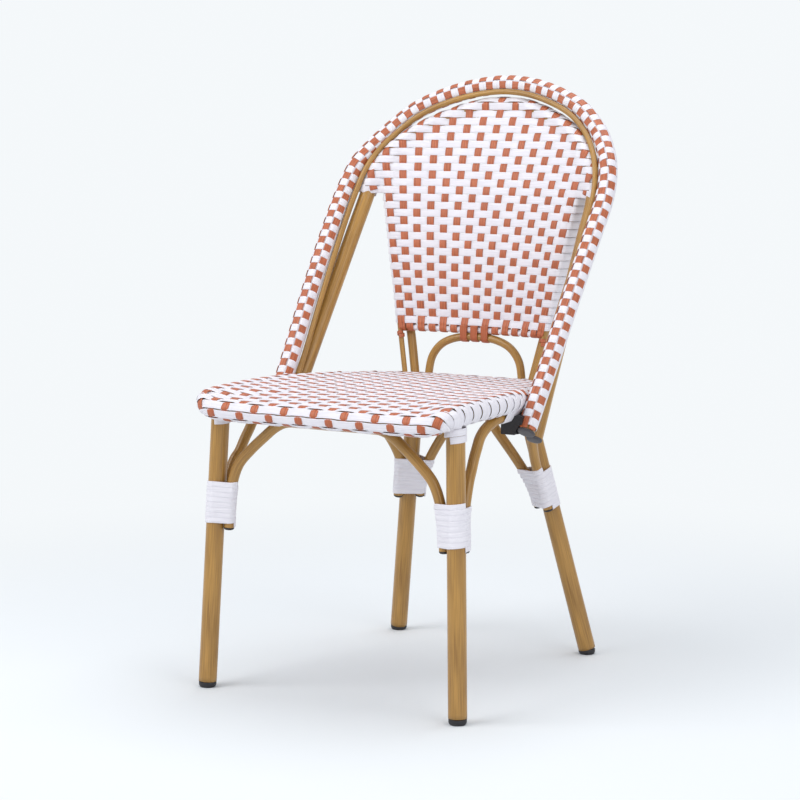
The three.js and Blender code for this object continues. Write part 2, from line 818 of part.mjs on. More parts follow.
// Ties: the middle strands run on down round the lumbar arch and back up behind the panel
function arcTie(across) {
  const inner = rodRadius + 3 * fit + strandWall;
  const outer = inner + tieWall;
  const top = rodRadius + tieRise;
  const samples = lumbar.getSpacedPoints(80);
  const apart = (p) => Math.abs(p.x - across);
  const nearest = samples.reduce((best, p) => (apart(p) < apart(best) ? p : best));
  const drop = backFoot - nearest.z + fit;
  const outline = new THREE.Shape();
  outline.moveTo(outer, top);
  outline.lineTo(inner, top);
  outline.lineTo(inner, -drop);
  outline.absarc(0, -drop, inner, 0, -Math.PI, true);
  outline.lineTo(-inner, top);
  outline.lineTo(-outer, top);
  outline.lineTo(-outer, -drop);
  outline.absarc(0, -drop, outer, -Math.PI, 0, false);
  outline.lineTo(outer, top);
  const tie = new THREE.ExtrudeGeometry(outline, {
    depth: tieWidth, bevelEnabled: false, curveSegments: 6,
  });
  tie.translate(0, 0, -tieWidth / 2);
  tie.applyMatrix4(new THREE.Matrix4().makeBasis(v(0, unit, 0), v(0, 0, unit), v(unit, 0, 0)));
  return tie.translate(across, backAt(across, backFoot), backFoot);
}

// Binding: one flat strand wound round a leg and the two brace ends beside it. Each turn is the polygon
// that closes round the three tubes in the plane across the leg, so its flats lie on the tubes
function tubeAcross(curve, fromStart, origin, axis, height) {
  let low = fromStart ? 0 : 1 / 2;
  let high = fromStart ? 1 / 2 : 1;
  for (let i = 0; i < 30; i += 1) {
    const middle = (low + high) / 2;
    const above = curve.getPointAt(middle).sub(origin).dot(axis) > height;
    if (above === fromStart) high = middle;
    else low = middle;
  }
  const lean = Math.abs(curve.getTangentAt(low).dot(axis));
  return { at: curve.getPointAt(low), radius: braceRadius / lean };
}

function binding(legAt, side, foot, braces) {
  const origin = legAt(side, foot);
  const axis = legAt(side, legSpan).sub(legAt(side, 0)).normalize();
  const first = v(unit, 0, 0).addScaledVector(axis, -axis.x).normalize();
  const second = new THREE.Vector3().crossVectors(axis, first);
  const step = Math.PI * 2 / turnSteps;
  const pitch = (bindingLength - strandWidth) / bindingTurns;
  const lift = strandHeight / 2 + bindingClearance;

  // how far the three tubes reach from the leg's middle in a direction, over the strand's width
  const reachAt = (height, angle) => {
    let reach = legRadius;
    for (const [curve, fromStart] of braces) {
      for (const edge of [-strandWidth / 2, strandWidth / 2]) {
        const { at, radius } = tubeAcross(curve, fromStart, origin, axis, Math.max(height + edge, 0));
        const from = at.sub(origin);
        const outward = from.dot(first) * Math.cos(angle) + from.dot(second) * Math.sin(angle);
        reach = Math.max(reach, outward + radius);
      }
    }
    return reach + lift;
  };

  const centres = [];
  const count = bindingTurns * turnSteps;
  for (let i = 0; i <= count; i += 1) {
    const height = strandWidth / 2 + pitch * i / turnSteps;
    const angle = step * i;
    const reach = reachAt(height, angle);
    const aside = (reachAt(height, angle + step) - reach * Math.cos(step)) / Math.sin(step);
    centres.push(origin.clone().addScaledVector(axis, height)
      .addScaledVector(first, reach * Math.cos(angle) - aside * Math.sin(angle))
      .addScaledVector(second, reach * Math.sin(angle) + aside * Math.cos(angle)));
  }
  // the ends run on straight
  const lead = centres[0].clone().sub(centres[1]).normalize().multiplyScalar(strandWidth).add(centres[0]);
  const last = centres[count].clone().sub(centres[count - 1]).normalize().multiplyScalar(strandWidth);
  centres.unshift(lead);
  centres.push(last.add(centres[count + 1]));
  let least = Infinity;
  for (let i = 0; i < centres.length; i += 1) {
    for (let j = i + turnSteps / 2; j < centres.length; j += 1) {
      const apart = centres[i].clone().sub(centres[j]);
      const across = Math.abs(apart.dot(axis)) - strandWidth;
      const outward = apart.addScaledVector(axis, -apart.dot(axis)).length() - strandHeight;
      least = Math.min(least, Math.max(across, outward));
    }
  }
  console.log(`binding: least gap between turns ${least.toFixed(2)} mm`);
  return strandTube(centres, axis);
}

// A flat strand along given points, its width kept along the axis it winds round
function strandTube(centres, axis) {
  const sectionShares = [[1, 1], [-1, 1], [-1, -1], [1, -1]];
  const positions = [];
  const index = [];
  centres.forEach((centre, i) => {
    const before = centres[Math.max(i - 1, 0)];
    const after = centres[Math.min(i + 1, centres.length - 1)];
    const along = after.clone().sub(before).normalize();
    const wide = axis.clone().addScaledVector(along, -axis.dot(along)).normalize();
    const thick = new THREE.Vector3().crossVectors(along, wide);
    for (const [a, b] of sectionShares) {
      const p = centre.clone().addScaledVector(wide, a * strandWidth / 2);
      p.addScaledVector(thick, b * strandHeight / 2);
      positions.push(p.x, p.y, p.z);
    }
  });
  const sides = sectionShares.length;
  const last = (centres.length - 1) * sides;
  for (let i = 0; i < centres.length - 1; i += 1) {
    for (let k = 0; k < sides; k += 1) {
      const a = i * sides + k;
      const b = i * sides + (k + 1) % sides;
      index.push(a, b, b + sides, a, b + sides, a + sides);
    }
  }
  for (let k = 1; k < sides - 1; k += 1) {
    index.push(0, k + 1, k);
    index.push(last, last + k, last + k + 1);
  }
  const geometry = new THREE.BufferGeometry();
  geometry.setAttribute('position', new THREE.Float32BufferAttribute(positions, 3));
  geometry.setIndex(index);
  return geometry;
}

// Bracket: a moulded block between the seat ring and the two hoops' lower ends, held by two screws
function bracket(side, cutters) {
  const near = side > 0 ? bracketInner : -bracketOuter;
  const far = side > 0 ? bracketOuter : -bracketInner;
  return cut(box(v(near, bracketFront, bracketLow), v(far, bracketRear, bracketHigh)), cutters);
}

// Screws: one from the bracket into each hoop, and one up into the side brace
function screw(at, direction, length, extra) {
  const shank = screwRadius + extra;
  const head = screwHeadRadius + extra;
  const profile = [
    new THREE.Vector2(0, -screwHeadHeight - extra),
    new THREE.Vector2(head, -screwHeadHeight - extra),
    new THREE.Vector2(head, 0),
    new THREE.Vector2(shank, 0),
    new THREE.Vector2(shank, length + extra),
    new THREE.Vector2(0, length + extra),
  ];
  const turned = new THREE.LatheGeometry(profile, boreSides);
  turned.applyQuaternion(new THREE.Quaternion().setFromUnitVectors(v(0, unit, 0), direction));
  return turned.translate(at.x, at.y, at.z);
}

// Room past a hoop's lower end for its cap
function capRoom(hoop, atEnd, radius) {
  const share = atEnd ? 1 : 0;
  const outward = hoop.getTangentAt(share).multiplyScalar(atEnd ? overrun : -overrun);
  const end = hoop.getPointAt(share);
  return tube(line(end.clone().sub(outward), end.clone().add(outward)), radius);
}

function hoopScrew(hoop, side, extra) {
  const height = bracketLow + hoopScrewRise;
  const depth = hoop.getPointAt(Math.max(hoopShare(hoop, height), 0)).y;
  const at = v(side * (bracketInner - fit), depth, height);
  return screw(at, v(side, 0, 0), hoopScrewLength, extra);
}

function braceScrew(side, extra) {
  const across = side * underRail(braceScrewDepth).x;
  const at = v(across, braceScrewDepth, bracketLow - fit);
  return screw(at, v(0, 0, unit), braceScrewLength, extra);
}

// Assembly
const chair = new THREE.Group();

function place(name, geometry, finish) {
  const mesh = new THREE.Mesh(geometry, new THREE.MeshStandardMaterial(finish));
  mesh.name = name;
  chair.add(mesh);
  return mesh;
}

const rodLines = sides.map(([, side]) => rodLine(side));
const postLines = sides.map(([, side]) => postLine(side));
const bottomRail = bottomRailLine(panelFootHalf - rodRadius);
const spacer = new Paced(spacerLine(), fineTurn);
const railCutter = ringCutter(railRadius + fit);
const legCutter = (legAt, side, low, high) => (
  tube(line(legAt(side, low), legAt(side, high)), legRadius + fit));
const legCutters = sides.flatMap(([, side]) => [
  legCutter(frontLegAt, side, bindingLength, legTopFront + legRise),
  legCutter(rearLegAt, side, bindingLength, legTopRear + legRise),
]);
const braceCutters = [frontBrace, rearBrace, sideBraces[1], sideBraces[-1]].map((brace) => (
  tube(brace, braceRadius + fit, 0, braceSides)));
const backCutters = [
  ...rodLines.map((rod) => tube(rod, rodRadius + fit, 0, boreSides)),
  ...postLines.map((post) => tube(post, postRadius + fit, 0, braceSides)),
  tube(lumbar, lumbarRadius + fit, 0, braceSides),
];
const hoopScrewCutters = sides.flatMap(([, side]) => (
  [outerHoop, innerHoop].map((hoop) => hoopScrew(hoop, side, fit))));
const braceScrewCutters = sides.map(([, side]) => braceScrew(side, fit));

for (const [word, side] of sides) {
  place(`front_leg_${word}`, leg(frontLegAt, side, legTopFront, railCutter), bamboo);
  place(`rear_leg_${word}`, leg(rearLegAt, side, legTopRear, railCutter), bamboo);
  place(`front_foot_glide_${word}`, glide(frontLegAt, side), blackPlastic);
  place(`rear_foot_glide_${word}`, glide(rearLegAt, side), blackPlastic);
}

// Seat frame
const crossHalf = frontLegAt(unit, legSpan).x - legRadius / 2;
const crossLine = line(v(-crossHalf, crossDepth, crossHeight), v(crossHalf, crossDepth, crossHeight));
const stretcherEnd = ringAt(stretcherDepth);
const stretcherHeight = stretcherEnd.z - railRadius + stretcherRadius + 2 * fit;
const stretcherLine = line(
  v(-stretcherEnd.x, stretcherDepth, stretcherHeight), v(stretcherEnd.x, stretcherDepth, stretcherHeight),
);
const tallLegs = sides.map(([, side]) => legCutter(frontLegAt, side, 0, legSpan + overrun));
place('seat_front_rail', pipe(frontRailLine, railRadius), shadedBamboo);
place('seat_frame_bow', pipe(bowLine, railRadius), shadedBamboo);
place('seat_cross_rail', cut(pipe(crossLine, crossRadius), [railCutter, ...tallLegs]), shadedBamboo);
place('seat_stretcher', cut(pipe(stretcherLine, stretcherRadius), [railCutter]), shadedBamboo);

// Braces with their caps and bindings
place('front_brace', pipe(frontBrace, braceRadius), bamboo);
place('rear_brace', pipe(rearBrace, braceRadius), shadedBamboo);
for (const [word, side] of sides) {
  place(`side_brace_${word}`, cut(pipe(sideBraces[side], braceRadius), braceScrewCutters), bamboo);
}
for (const [word, side] of sides) {
  const cap = (curve, atEnd) => capOn(curve, atEnd, braceRadius, braceRadius, braceCapFlange);
  const crossEnd = side > 0;
  place(`front_brace_cap_${word}`, cap(frontBrace, crossEnd), blackPlastic);
  place(`rear_brace_cap_${word}`, cap(rearBrace, crossEnd), blackPlastic);
  place(`side_brace_front_cap_${word}`, cap(sideBraces[side], false), blackPlastic);
  place(`side_brace_rear_cap_${word}`, cap(sideBraces[side], true), blackPlastic);
  const frontEnds = [[frontBrace, !crossEnd], [sideBraces[side], true]];
  const rearEnds = [[rearBrace, !crossEnd], [sideBraces[side], false]];
  place(`front_binding_${word}`, binding(frontLegAt, side, frontBindingFoot, frontEnds), whiteStrand);
  place(`rear_binding_${word}`, binding(rearLegAt, side, rearBindingFoot, rearEnds), whiteStrand);
}

// Hoops, their caps, the spacer rod and the brackets
place('outer_hoop', cut(pipe(outerHoopSteps, outerHoopRadius), hoopScrewCutters), bamboo);
place('inner_hoop', cut(pipe(innerHoopSteps, innerHoopRadius), hoopScrewCutters), bamboo);
place('hoop_spacer_rod', tube(spacer, spacerRadius, 0, boreSides), shadedBamboo);
const band = tube(outerHoopSteps, bandRadius, outerHoopRadius + fit);
place('outer_hoop_weave', cut(band, hoopScrewCutters), whiteStrand);
for (const [word, side] of sides) {
  const atEnd = side > 0;
  const outerCap = capOn(outerHoop, atEnd, outerHoopRadius, bandRadius - capRound, capFlange);
  const innerCap = capOn(innerHoop, atEnd, innerHoopRadius, innerHoopRadius - 2 * fit, capFlange);
  place(`outer_hoop_cap_${word}`, outerCap, blackPlastic);
  place(`inner_hoop_cap_${word}`, innerCap, blackPlastic);
}
const bracketCutters = [
  ...[true, false].flatMap((atEnd) => [
    capRoom(outerHoop, atEnd, bandRadius + fit),
    capRoom(innerHoop, atEnd, innerHoopRadius + fit),
  ]),
  tube(outerHoopSteps, bandRadius + fit),
  tube(innerHoopSteps, innerHoopRadius + fit),
  ringCutter(rollRadius + 4 * fit),
  ...braceCutters,
  ...sides.map(([, side]) => seizing(side, fit)),
  ...hoopScrewCutters,
  ...braceScrewCutters,
  tube(spacer, spacerRadius + fit, 0, boreSides),
];
for (const [word, side] of sides) {
  place(`hoop_bracket_${word}`, bracket(side, bracketCutters), blackPlastic);
  place(`outer_hoop_screw_${word}`, hoopScrew(outerHoop, side, 0), steel);
  place(`inner_hoop_screw_${word}`, hoopScrew(innerHoop, side, 0), steel);
  place(`side_brace_screw_${word}`, braceScrew(side, 0), steel);
}

// Back panel frame
sides.forEach(([word], i) => {
  const ends = [railCutter, tube(innerHoopSteps, innerHoopRadius + fit)];
  place(`panel_side_rod_${word}`, cut(tube(rodLines[i], rodRadius, 0, boreSides), ends), bamboo);
  place(`panel_post_${word}`, cut(pipe(postLines[i], postRadius), ends), bamboo);
});
place('panel_bottom_rail', cut(
  tube(bottomRail, rodRadius, 0, boreSides),
  rodLines.map((rod) => tube(rod, rodRadius + fit, 0, boreSides)),
), bamboo);
place('lumbar_arch', cut(pipe(lumbar, lumbarRadius), [railCutter]), bamboo);
for (let i = 0; i < tieCount; i += 1) {
  place(`lumbar_tie_${i + 1}`, arcTie((i - (tieCount - 1) / 2) * tiePitch), terracottaStrand);
}

// Woven seat and back
place('seat_weave', seatWeave([
  railCutter,
  tube(crossLine, crossRadius + fit),
  ...legCutters,
  ...braceCutters,
  ...backCutters,
  tube(outerHoopSteps, bandRadius + fit),
  tube(spacer, spacerRadius + fit, 0, boreSides),
]), whiteStrand);
const sideTubes = [
  ...rodLines.map((rod) => [rod, rodRadius, boreSides]),
  ...postLines.map((post) => [post, postRadius, braceSides]),
];
place('back_panel_weave', panelWeave(sideTubes, bottomRail, [
  tube(innerHoopSteps, innerHoopRadius + fit),
  tube(bottomRail, rodRadius + fit, 0, boreSides),
  tube(spacer, spacerRadius + fit, 0, boreSides),
  ...backCutters,
]), whiteStrand);

// Stand the chair on its own middle
const bounds = new THREE.Box3().setFromObject(chair);
const middle = bounds.getCenter(new THREE.Vector3());
chair.position.set(-middle.x, -middle.y, -bounds.min.z);

export default chair;
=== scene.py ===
import bpy
import numpy as np
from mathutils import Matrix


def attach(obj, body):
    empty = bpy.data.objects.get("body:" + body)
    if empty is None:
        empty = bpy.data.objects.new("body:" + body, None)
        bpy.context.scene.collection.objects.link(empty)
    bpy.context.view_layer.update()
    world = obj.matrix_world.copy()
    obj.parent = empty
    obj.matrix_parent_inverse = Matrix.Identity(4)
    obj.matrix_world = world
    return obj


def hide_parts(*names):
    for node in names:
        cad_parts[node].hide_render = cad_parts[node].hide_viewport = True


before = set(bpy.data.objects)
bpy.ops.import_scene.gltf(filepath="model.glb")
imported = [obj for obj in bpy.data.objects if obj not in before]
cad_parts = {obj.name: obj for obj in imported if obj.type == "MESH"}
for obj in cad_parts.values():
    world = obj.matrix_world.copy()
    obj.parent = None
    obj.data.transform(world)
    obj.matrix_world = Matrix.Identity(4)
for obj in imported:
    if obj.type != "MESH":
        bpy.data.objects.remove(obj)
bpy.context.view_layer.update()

# ---- Camera, floor and light: the photo's own view of the chair, solved from its legs and hoops. The floor
# is pale paper that fades into the backdrop without an edge, and it keeps the chair's shadow. Lengths below
# are millimetres from the line between the front feet, and the frame's origin lies SHIFT behind it ----
MM = 0.001
SHIFT = 261.4817
camera = bpy.data.objects.new("camera", bpy.data.cameras.new("camera"))
bpy.context.collection.objects.link(camera)
camera.data.lens = 109.485
camera.data.sensor_width = 36
camera.data.clip_end = 50
camera.location = (1.9218, -2.9843 - SHIFT * MM, 0.9058)
camera.rotation_euler = np.radians([82.82, 0, 31.06])
bpy.context.scene.camera = camera
bpy.context.scene.view_settings.view_transform = "Standard"


def new_material(name):
    """An empty node material with its shader and output joined; returns (material, nodes, links, shader)."""
    material = bpy.data.materials.new(name)
    material.use_nodes = True
    nodes, links = material.node_tree.nodes, material.node_tree.links
    return material, nodes, links, nodes["Principled BSDF"]


def quad_mesh(name, points, quads, quad_uv=None):
    """A mesh of quads from arrays: points (n,3) in metres, quads (m,4), and (m,4,2) for its UV map."""
    mesh = bpy.data.meshes.new(name)
    mesh.vertices.add(len(points))
    mesh.vertices.foreach_set("co", np.asarray(points, np.float32).ravel())
    mesh.loops.add(4 * len(quads))
    mesh.loops.foreach_set("vertex_index", np.asarray(quads, np.int32).ravel())
    mesh.polygons.add(len(quads))
    mesh.polygons.foreach_set("loop_start", np.arange(0, 4 * len(quads), 4, dtype=np.int32))
    mesh.polygons.foreach_set("use_smooth", np.full(len(quads), True))
    if quad_uv is not None:
        mesh.uv_layers.new(name="run").data.foreach_set("uv", np.asarray(quad_uv, np.float32).ravel())
    mesh.update(calc_edges=True)
    piece = bpy.data.objects.new(name, mesh)
    bpy.context.collection.objects.link(piece)
    return piece


BACKDROP = (0.91, 0.94, 0.96, 1)
floor = quad_mesh("floor", [(-9, -9, 0), (9, -9, 0), (9, 14, 0), (-9, 14, 0)], [(0, 1, 2, 3)])
material, nodes, links, shader = new_material("floor_paper")
shader.inputs["Base Color"].default_value = (0.8, 0.83, 0.85, 1)
shader.inputs["Roughness"].default_value = 0.95
shader.inputs["Specular IOR Level"].default_value = 0.0
place = nodes.new("ShaderNodeTexCoord")
away = nodes.new("ShaderNodeVectorMath")
away.operation = "LENGTH"
links.new(place.outputs["Object"], away.inputs[0])
fade = nodes.new("ShaderNodeMapRange")
fade.interpolation_type = "SMOOTHSTEP"
fade.inputs["From Min"].default_value = 0.45
fade.inputs["From Max"].default_value = 1.7
links.new(away.outputs["Value"], fade.inputs["Value"])
glow = nodes.new("ShaderNodeEmission")
glow.inputs["Color"].default_value = BACKDROP
blend_in = nodes.new("ShaderNodeMixShader")
links.new(fade.outputs[0], blend_in.inputs[0])
links.new(shader.outputs[0], blend_in.inputs[1])
links.new(glow.outputs[0], blend_in.inputs[2])
links.new(blend_in.outputs[0], nodes["Material Output"].inputs[0])
floor.data.materials.append(material)

world = bpy.data.worlds.new("studio")
bpy.context.scene.world = world
world.use_nodes = True
tree = world.node_tree
background = tree.nodes["Background"]
background.inputs["Color"].default_value = (0.92, 0.95, 1.0, 1)
background.inputs["Strength"].default_value = 0.62
seen = tree.nodes.new("ShaderNodeBackground")
seen.inputs["Color"].default_value = BACKDROP
seen.inputs["Strength"].default_value = 1.0
path = tree.nodes.new("ShaderNodeLightPath")
mix = tree.nodes.new("ShaderNodeMixShader")
tree.links.new(path.outputs["Is Camera Ray"], mix.inputs[0])
tree.links.new(background.outputs[0], mix.inputs[1])
tree.links.new(seen.outputs[0], mix.inputs[2])
tree.links.new(mix.outputs[0], tree.nodes["World Output"].inputs[0])

for name, place, turn, size, power in [
    ("key", (-1.6, -2.4, 2.6), (47, 0, -34), 2.4, 62),
    ("fill", (2.8, -1.2, 1.6), (66, 0, 66), 2.2, 26),
    ("top", (0.2, 0.6, 3.0), (-8, 0, 0), 2.2, 30),
]:
    light = bpy.data.lights.new(name, "AREA")
    light.size = size
    light.energy = power
    lamp = bpy.data.objects.new(name, light)
    lamp.location = place
    lamp.rotation_euler = np.radians(turn)
    bpy.context.collection.objects.link(lamp)


# ---- Finishes: the aluminium tubes carry a lacquered bamboo pattern, the strands are extruded in white and
# terracotta with fine ribs along them, and the caps, glides and brackets are moulded in black plastic ----
def coloured(nodes, links, factor, stops, shader):
    """The shader's base colour, from a factor through a ramp of (place, colour) stops."""
    node = nodes.new("ShaderNodeValToRGB")
    elements = node.color_ramp.elements
    while len(elements) < len(stops):
        elements.new(0.5)
    for element, (place, colour) in zip(elements, stops):
        element.position = place
        element.color = (*colour, 1)
    links.new(factor, node.inputs[0])
    links.new(node.outputs[0], shader.inputs["Base Color"])


def raised(nodes, links, height, strength, distance, shader):
    """The shader's bump, from a height: distance is in metres."""
    bump = nodes.new("ShaderNodeBump")
    bump.inputs["Strength"].default_value = strength
    bump.inputs["Distance"].default_value = distance
    links.new(height, bump.inputs["Height"])
    links.new(bump.outputs[0], shader.inputs["Normal"])


def maths(nodes, links, operation, source, value=0.5):
    node = nodes.new("ShaderNodeMath")
    node.operation = operation
    node.inputs[1].default_value = value
    links.new(source, node.inputs[0])
    return node


def run_map(nodes):
    """A piece's own map: metres along its run and across it."""
    uv = nodes.new("ShaderNodeUVMap")
    uv.uv_map = "run"
    return uv.outputs[0]


def stretched_noise(nodes, links, scale, detail=3):
    """Noise on the run map, stretched along the run: scale is (per metre along, across)."""
    mapping = nodes.new("ShaderNodeMapping")
    mapping.inputs["Scale"].default_value = (scale[0], scale[1], 1)
    noise = nodes.new("ShaderNodeTexNoise")
    noise.inputs["Scale"].default_value = 1
    noise.inputs["Detail"].default_value = detail
    links.new(run_map(nodes), mapping.inputs[0])
    links.new(mapping.outputs[0], noise.inputs[0])
    return noise


def bamboo_finish(name, light, dark):
    """Golden tube: lengthwise streaks and slow cloudy patches between a dark and a light brown."""
    material, nodes, links, shader = new_material(name)
    streak = stretched_noise(nodes, links, (14, 900))
    patch = stretched_noise(nodes, links, (9, 60), 2)
    scaled = maths(nodes, links, "MULTIPLY", patch.outputs["Fac"], 0.4)
    add = maths(nodes, links, "MULTIPLY_ADD", streak.outputs["Fac"], 0.6)
    links.new(scaled.outputs[0], add.inputs[2])
    bright = tuple(min(1, 1.22 * c) for c in light)
    coloured(nodes, links, add.outputs[0], [(0.36, dark), (0.52, light), (0.64, bright)], shader)
    raised(nodes, links, streak.outputs["Fac"], 0.08, 0.0004, shader)
    shader.inputs["Roughness"].default_value = 0.36
    shader.inputs["Coat Weight"].default_value = 0.2
    shader.inputs["Coat Roughness"].default_value = 0.18
    return material


def strand_finish(name, low, high, ribs, depth, roughness):
    """Extruded strand: ribs along its length, so many per metre across, and streaks of two close tones."""
    material, nodes, links, shader = new_material(name)
    streak = stretched_noise(nodes, links, (30, 700))
    coloured(nodes, links, streak.outputs["Fac"], [(0.3, low), (0.66, high)], shader)
    split = nodes.new("ShaderNodeSeparateXYZ")
    links.new(run_map(nodes), split.inputs[0])
    turn = maths(nodes, links, "MULTIPLY", split.outputs[1], 2 * np.pi * ribs)
    ridge = maths(nodes, links, "SINE", turn.outputs[0])
    raised(nodes, links, ridge.outputs[0], 0.5, depth, shader)
    shader.inputs["Roughness"].default_value = roughness
    return material


def grained_finish(name, low, high, scale, roughness, metallic=0.0):
    """Moulded or plain metal surface: a fine grain in colour and height on Object coordinates."""
    material, nodes, links, shader = new_material(name)
    place = nodes.new("ShaderNodeTexCoord")
    noise = nodes.new("ShaderNodeTexNoise")
    noise.inputs["Scale"].default_value = scale
    noise.inputs["Detail"].default_value = 4
    links.new(place.outputs["Object"], noise.inputs[0])
    coloured(nodes, links, noise.outputs["Fac"], [(0.35, low), (0.65, high)], shader)
    raised(nodes, links, noise.outputs["Fac"], 0.2, 0.0002, shader)
    shader.inputs["Roughness"].default_value = roughness
    shader.inputs["Metallic"].default_value = metallic
    return material


bamboo = bamboo_finish("bamboo_lacquer", (0.4, 0.213, 0.048), (0.25, 0.12, 0.024))
white = strand_finish("white_strand", (0.76, 0.735, 0.8), (0.87, 0.85, 0.9), 900, 0.00025, 0.5)
terracotta = strand_finish("terracotta_strand", (0.3, 0.07, 0.024), (0.56, 0.155, 0.064), 420, 0.0002, 0.42)
black = grained_finish("black_plastic", (0.011, 0.010, 0.012), (0.024, 0.022, 0.025), 900, 0.5)
grey = grained_finish("hoop_cap_plastic", (0.05, 0.045, 0.052), (0.075, 0.068, 0.076), 700, 0.45)
steel = grained_finish("screw_steel", (0.42, 0.42, 0.43), (0.6, 0.6, 0.61), 1500, 0.35, 1.0)


# ---- Legs: four straight 28 mm tubes, the front pair nearly upright and the rear pair raked back and out.
# Each is cut level at the foot and runs up to the seat ring, where the weave hides its head ----
def at(points):
    """Millimetres from the line between the front feet, to metres in the chair's frame."""
    return (np.asarray(points, float) - (0, SHIFT, 0)) * MM


def unit(a):
    """Each vector divided by its length."""
    return a / np.maximum(np.linalg.norm(a, axis=-1, keepdims=True), 1e-12)


def lengths(line):
    """Length of a line up to each of its points."""
    return np.concatenate([[0], np.cumsum(np.linalg.norm(np.diff(line, axis=0), axis=1))])


def sweep(centres, wide, thick, section):
    """Sweeps a closed section along centres: point = centre + a*wide + b*thick for each (a, b) of section.
    Returns (points, quads, uv) in millimetres and metres, ends filled with quads, faces outward."""
    centres = np.asarray(centres, float)
    section = np.asarray(section, float)
    n, m = len(centres), len(section)
    points = centres[:, None] + section[None, :, :1] * wide[:, None] + section[None, :, 1:] * thick[:, None]
    i = np.arange(n - 1)[:, None]
    k = np.arange(m)[None, :]
    a, b = i * m + k, i * m + (k + 1) % m
    quads = np.stack([a, b, b + m, a + m], -1).reshape(-1, 4)
    run = lengths(centres)
    closed = np.vstack([section, section[:1]])
    flat = abs(np.ptp(section[:, 0]) - np.ptp(section[:, 1])) > 1e-6
    cross = closed[:, 0] if flat else lengths(closed)
    u0, u1 = np.broadcast_to(run[:-1, None], (n - 1, m)), np.broadcast_to(run[1:, None], (n - 1, m))
    v0, v1 = np.broadcast_to(cross[None, :-1], (n - 1, m)), np.broadcast_to(cross[None, 1:], (n - 1, m))
    uv = np.stack([np.stack([u0, v0], -1), np.stack([u0, v1], -1), np.stack([u1, v1], -1),
                   np.stack([u1, v0], -1)], 2).reshape(-1, 4, 2)
    k = np.arange(m // 2 - 1)
    low = np.stack([m - 1 - k, m - 2 - k, k + 1, k], -1)
    high = np.stack([k, k + 1, m - 2 - k, m - 1 - k], -1) + (n - 1) * m
    quads = np.vstack([quads, low, high])
    end_uv = np.zeros((2 * len(k), 4, 2))
    uv = np.concatenate([uv, end_uv])
    mid = n // 2 if n > 2 else 0
    ahead = centres[min(mid + 1, n - 1)] - centres[mid]
    area = np.sum(section[:, 0] * np.roll(section[:, 1], -1) - section[:, 1] * np.roll(section[:, 0], -1))
    if np.dot(np.cross(wide[mid], thick[mid]), ahead) * area < 0:
        quads, uv = quads[:, ::-1], uv[:, ::-1]
    return points.reshape(-1, 3), quads, uv * MM


def build(name, parts, material, slot, *nodes):
    """Joins swept parts to one piece that rides on the chair and stands for the named nodes."""
    points, quads, uvs, count = [], [], [], 0
    for p, q, uv in parts:
        points.append(p)
        quads.append(q + count)
        uvs.append(uv)
        count += len(p)
    piece = quad_mesh(name, at(np.vstack(points)), np.vstack(quads), np.concatenate(uvs))
    piece.data.materials.append(material)
    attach(piece, "root")
    if nodes:
        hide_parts(*nodes)


def circle(radius, corners=32):
    """Points (radius cos t, radius sin t) at even turns t."""
    turn = 2 * np.pi * np.arange(corners) / corners
    return np.stack([radius * np.cos(turn), radius * np.sin(turn)], -1)


def carried(centres):
    """Two cross directions carried along a line without twist: each is the last, less its part along it."""
    along = unit(np.gradient(centres, axis=0))
    first = np.empty_like(along)
    seed = np.array([0.0, 1, 0] if abs(along[0][2]) > 0.9 else [0.0, 0, 1])
    for i, t in enumerate(along):
        seed = seed - np.dot(seed, t) * t
        seed /= np.linalg.norm(seed)
        first[i] = seed
    return first, np.cross(along, first)


def tube(centres, radius, corners=32):
    """A round tube along a line of points."""
    centres = np.asarray(centres, float)
    return sweep(centres, *carried(centres), circle(radius, corners))


def turned(base, axis, profile, corners=32):
    """A turned piece: a section of circles (height, radius) along an axis from its base."""
    axis = unit(np.asarray(axis, float))
    side = unit(np.cross(axis, (0.3, 0.8, 0.1)))
    other = np.cross(axis, side)
    height, radius = np.array(profile, float).T
    centres = np.asarray(base, float) + height[:, None] * axis
    wide, thick = radius[:, None] * side, radius[:, None] * other
    return sweep(centres, wide, thick, circle(1, corners))


LEG_RADIUS, LEG_SPAN, LEG_TOP, GLIDE = 14, 425, 424, 9
FIT = 0.3
SIDES = [("left", 1), ("right", -1)]


def leg_line(foot, drift):
    """A leg's middle as a function of side and height: from its (across, deep) place on the floor it drifts
    by (across, deep) over LEG_SPAN."""
    def middle(side, height):
        height = np.asarray(height, float)
        share = height / LEG_SPAN
        return np.stack([side * (foot[0] + drift[0] * share), foot[1] + drift[1] * share, height], -1)
    return middle


front_leg = leg_line((221.8, 0), (-16.1, 19.6))
rear_leg = leg_line((180.5, 501.5), (-80.4, -78.9))
LEGS = [("front", front_leg), ("rear", rear_leg)]
for word, side in SIDES:
    for end, leg in LEGS:
        run = leg(side, np.linspace(GLIDE + FIT, LEG_TOP, 60))
        build(f"{end}_leg_tube_{word}", [tube(run, LEG_RADIUS, 48)], bamboo, "bamboo_tube",
              f"{end}_leg_{word}")

# ---- Foot glides: turned black plastic feet pressed into the legs' open ends. Each has a flat sole, a
# rounded edge that stands out nearly as far as the tube's wall, and a plug up the tube ----
GLIDE_PROFILE = [(0, 10.6), (0.25, 11.4), (1, 12.2), (2.4, 13), (4.2, 13.5), (GLIDE - 0.4, 13.5),
                 (GLIDE, 13.2), (GLIDE, 8.2), (GLIDE + 8, 8)]
for word, side in SIDES:
    for end, leg in LEGS:
        x, y, _ = leg(side, GLIDE)
        foot = turned((x, y, 0), (0, 0, 1), GLIDE_PROFILE, 40)
        build(f"{end}_glide_{word}", [foot], black, "black_plastic", f"{end}_foot_glide_{word}")

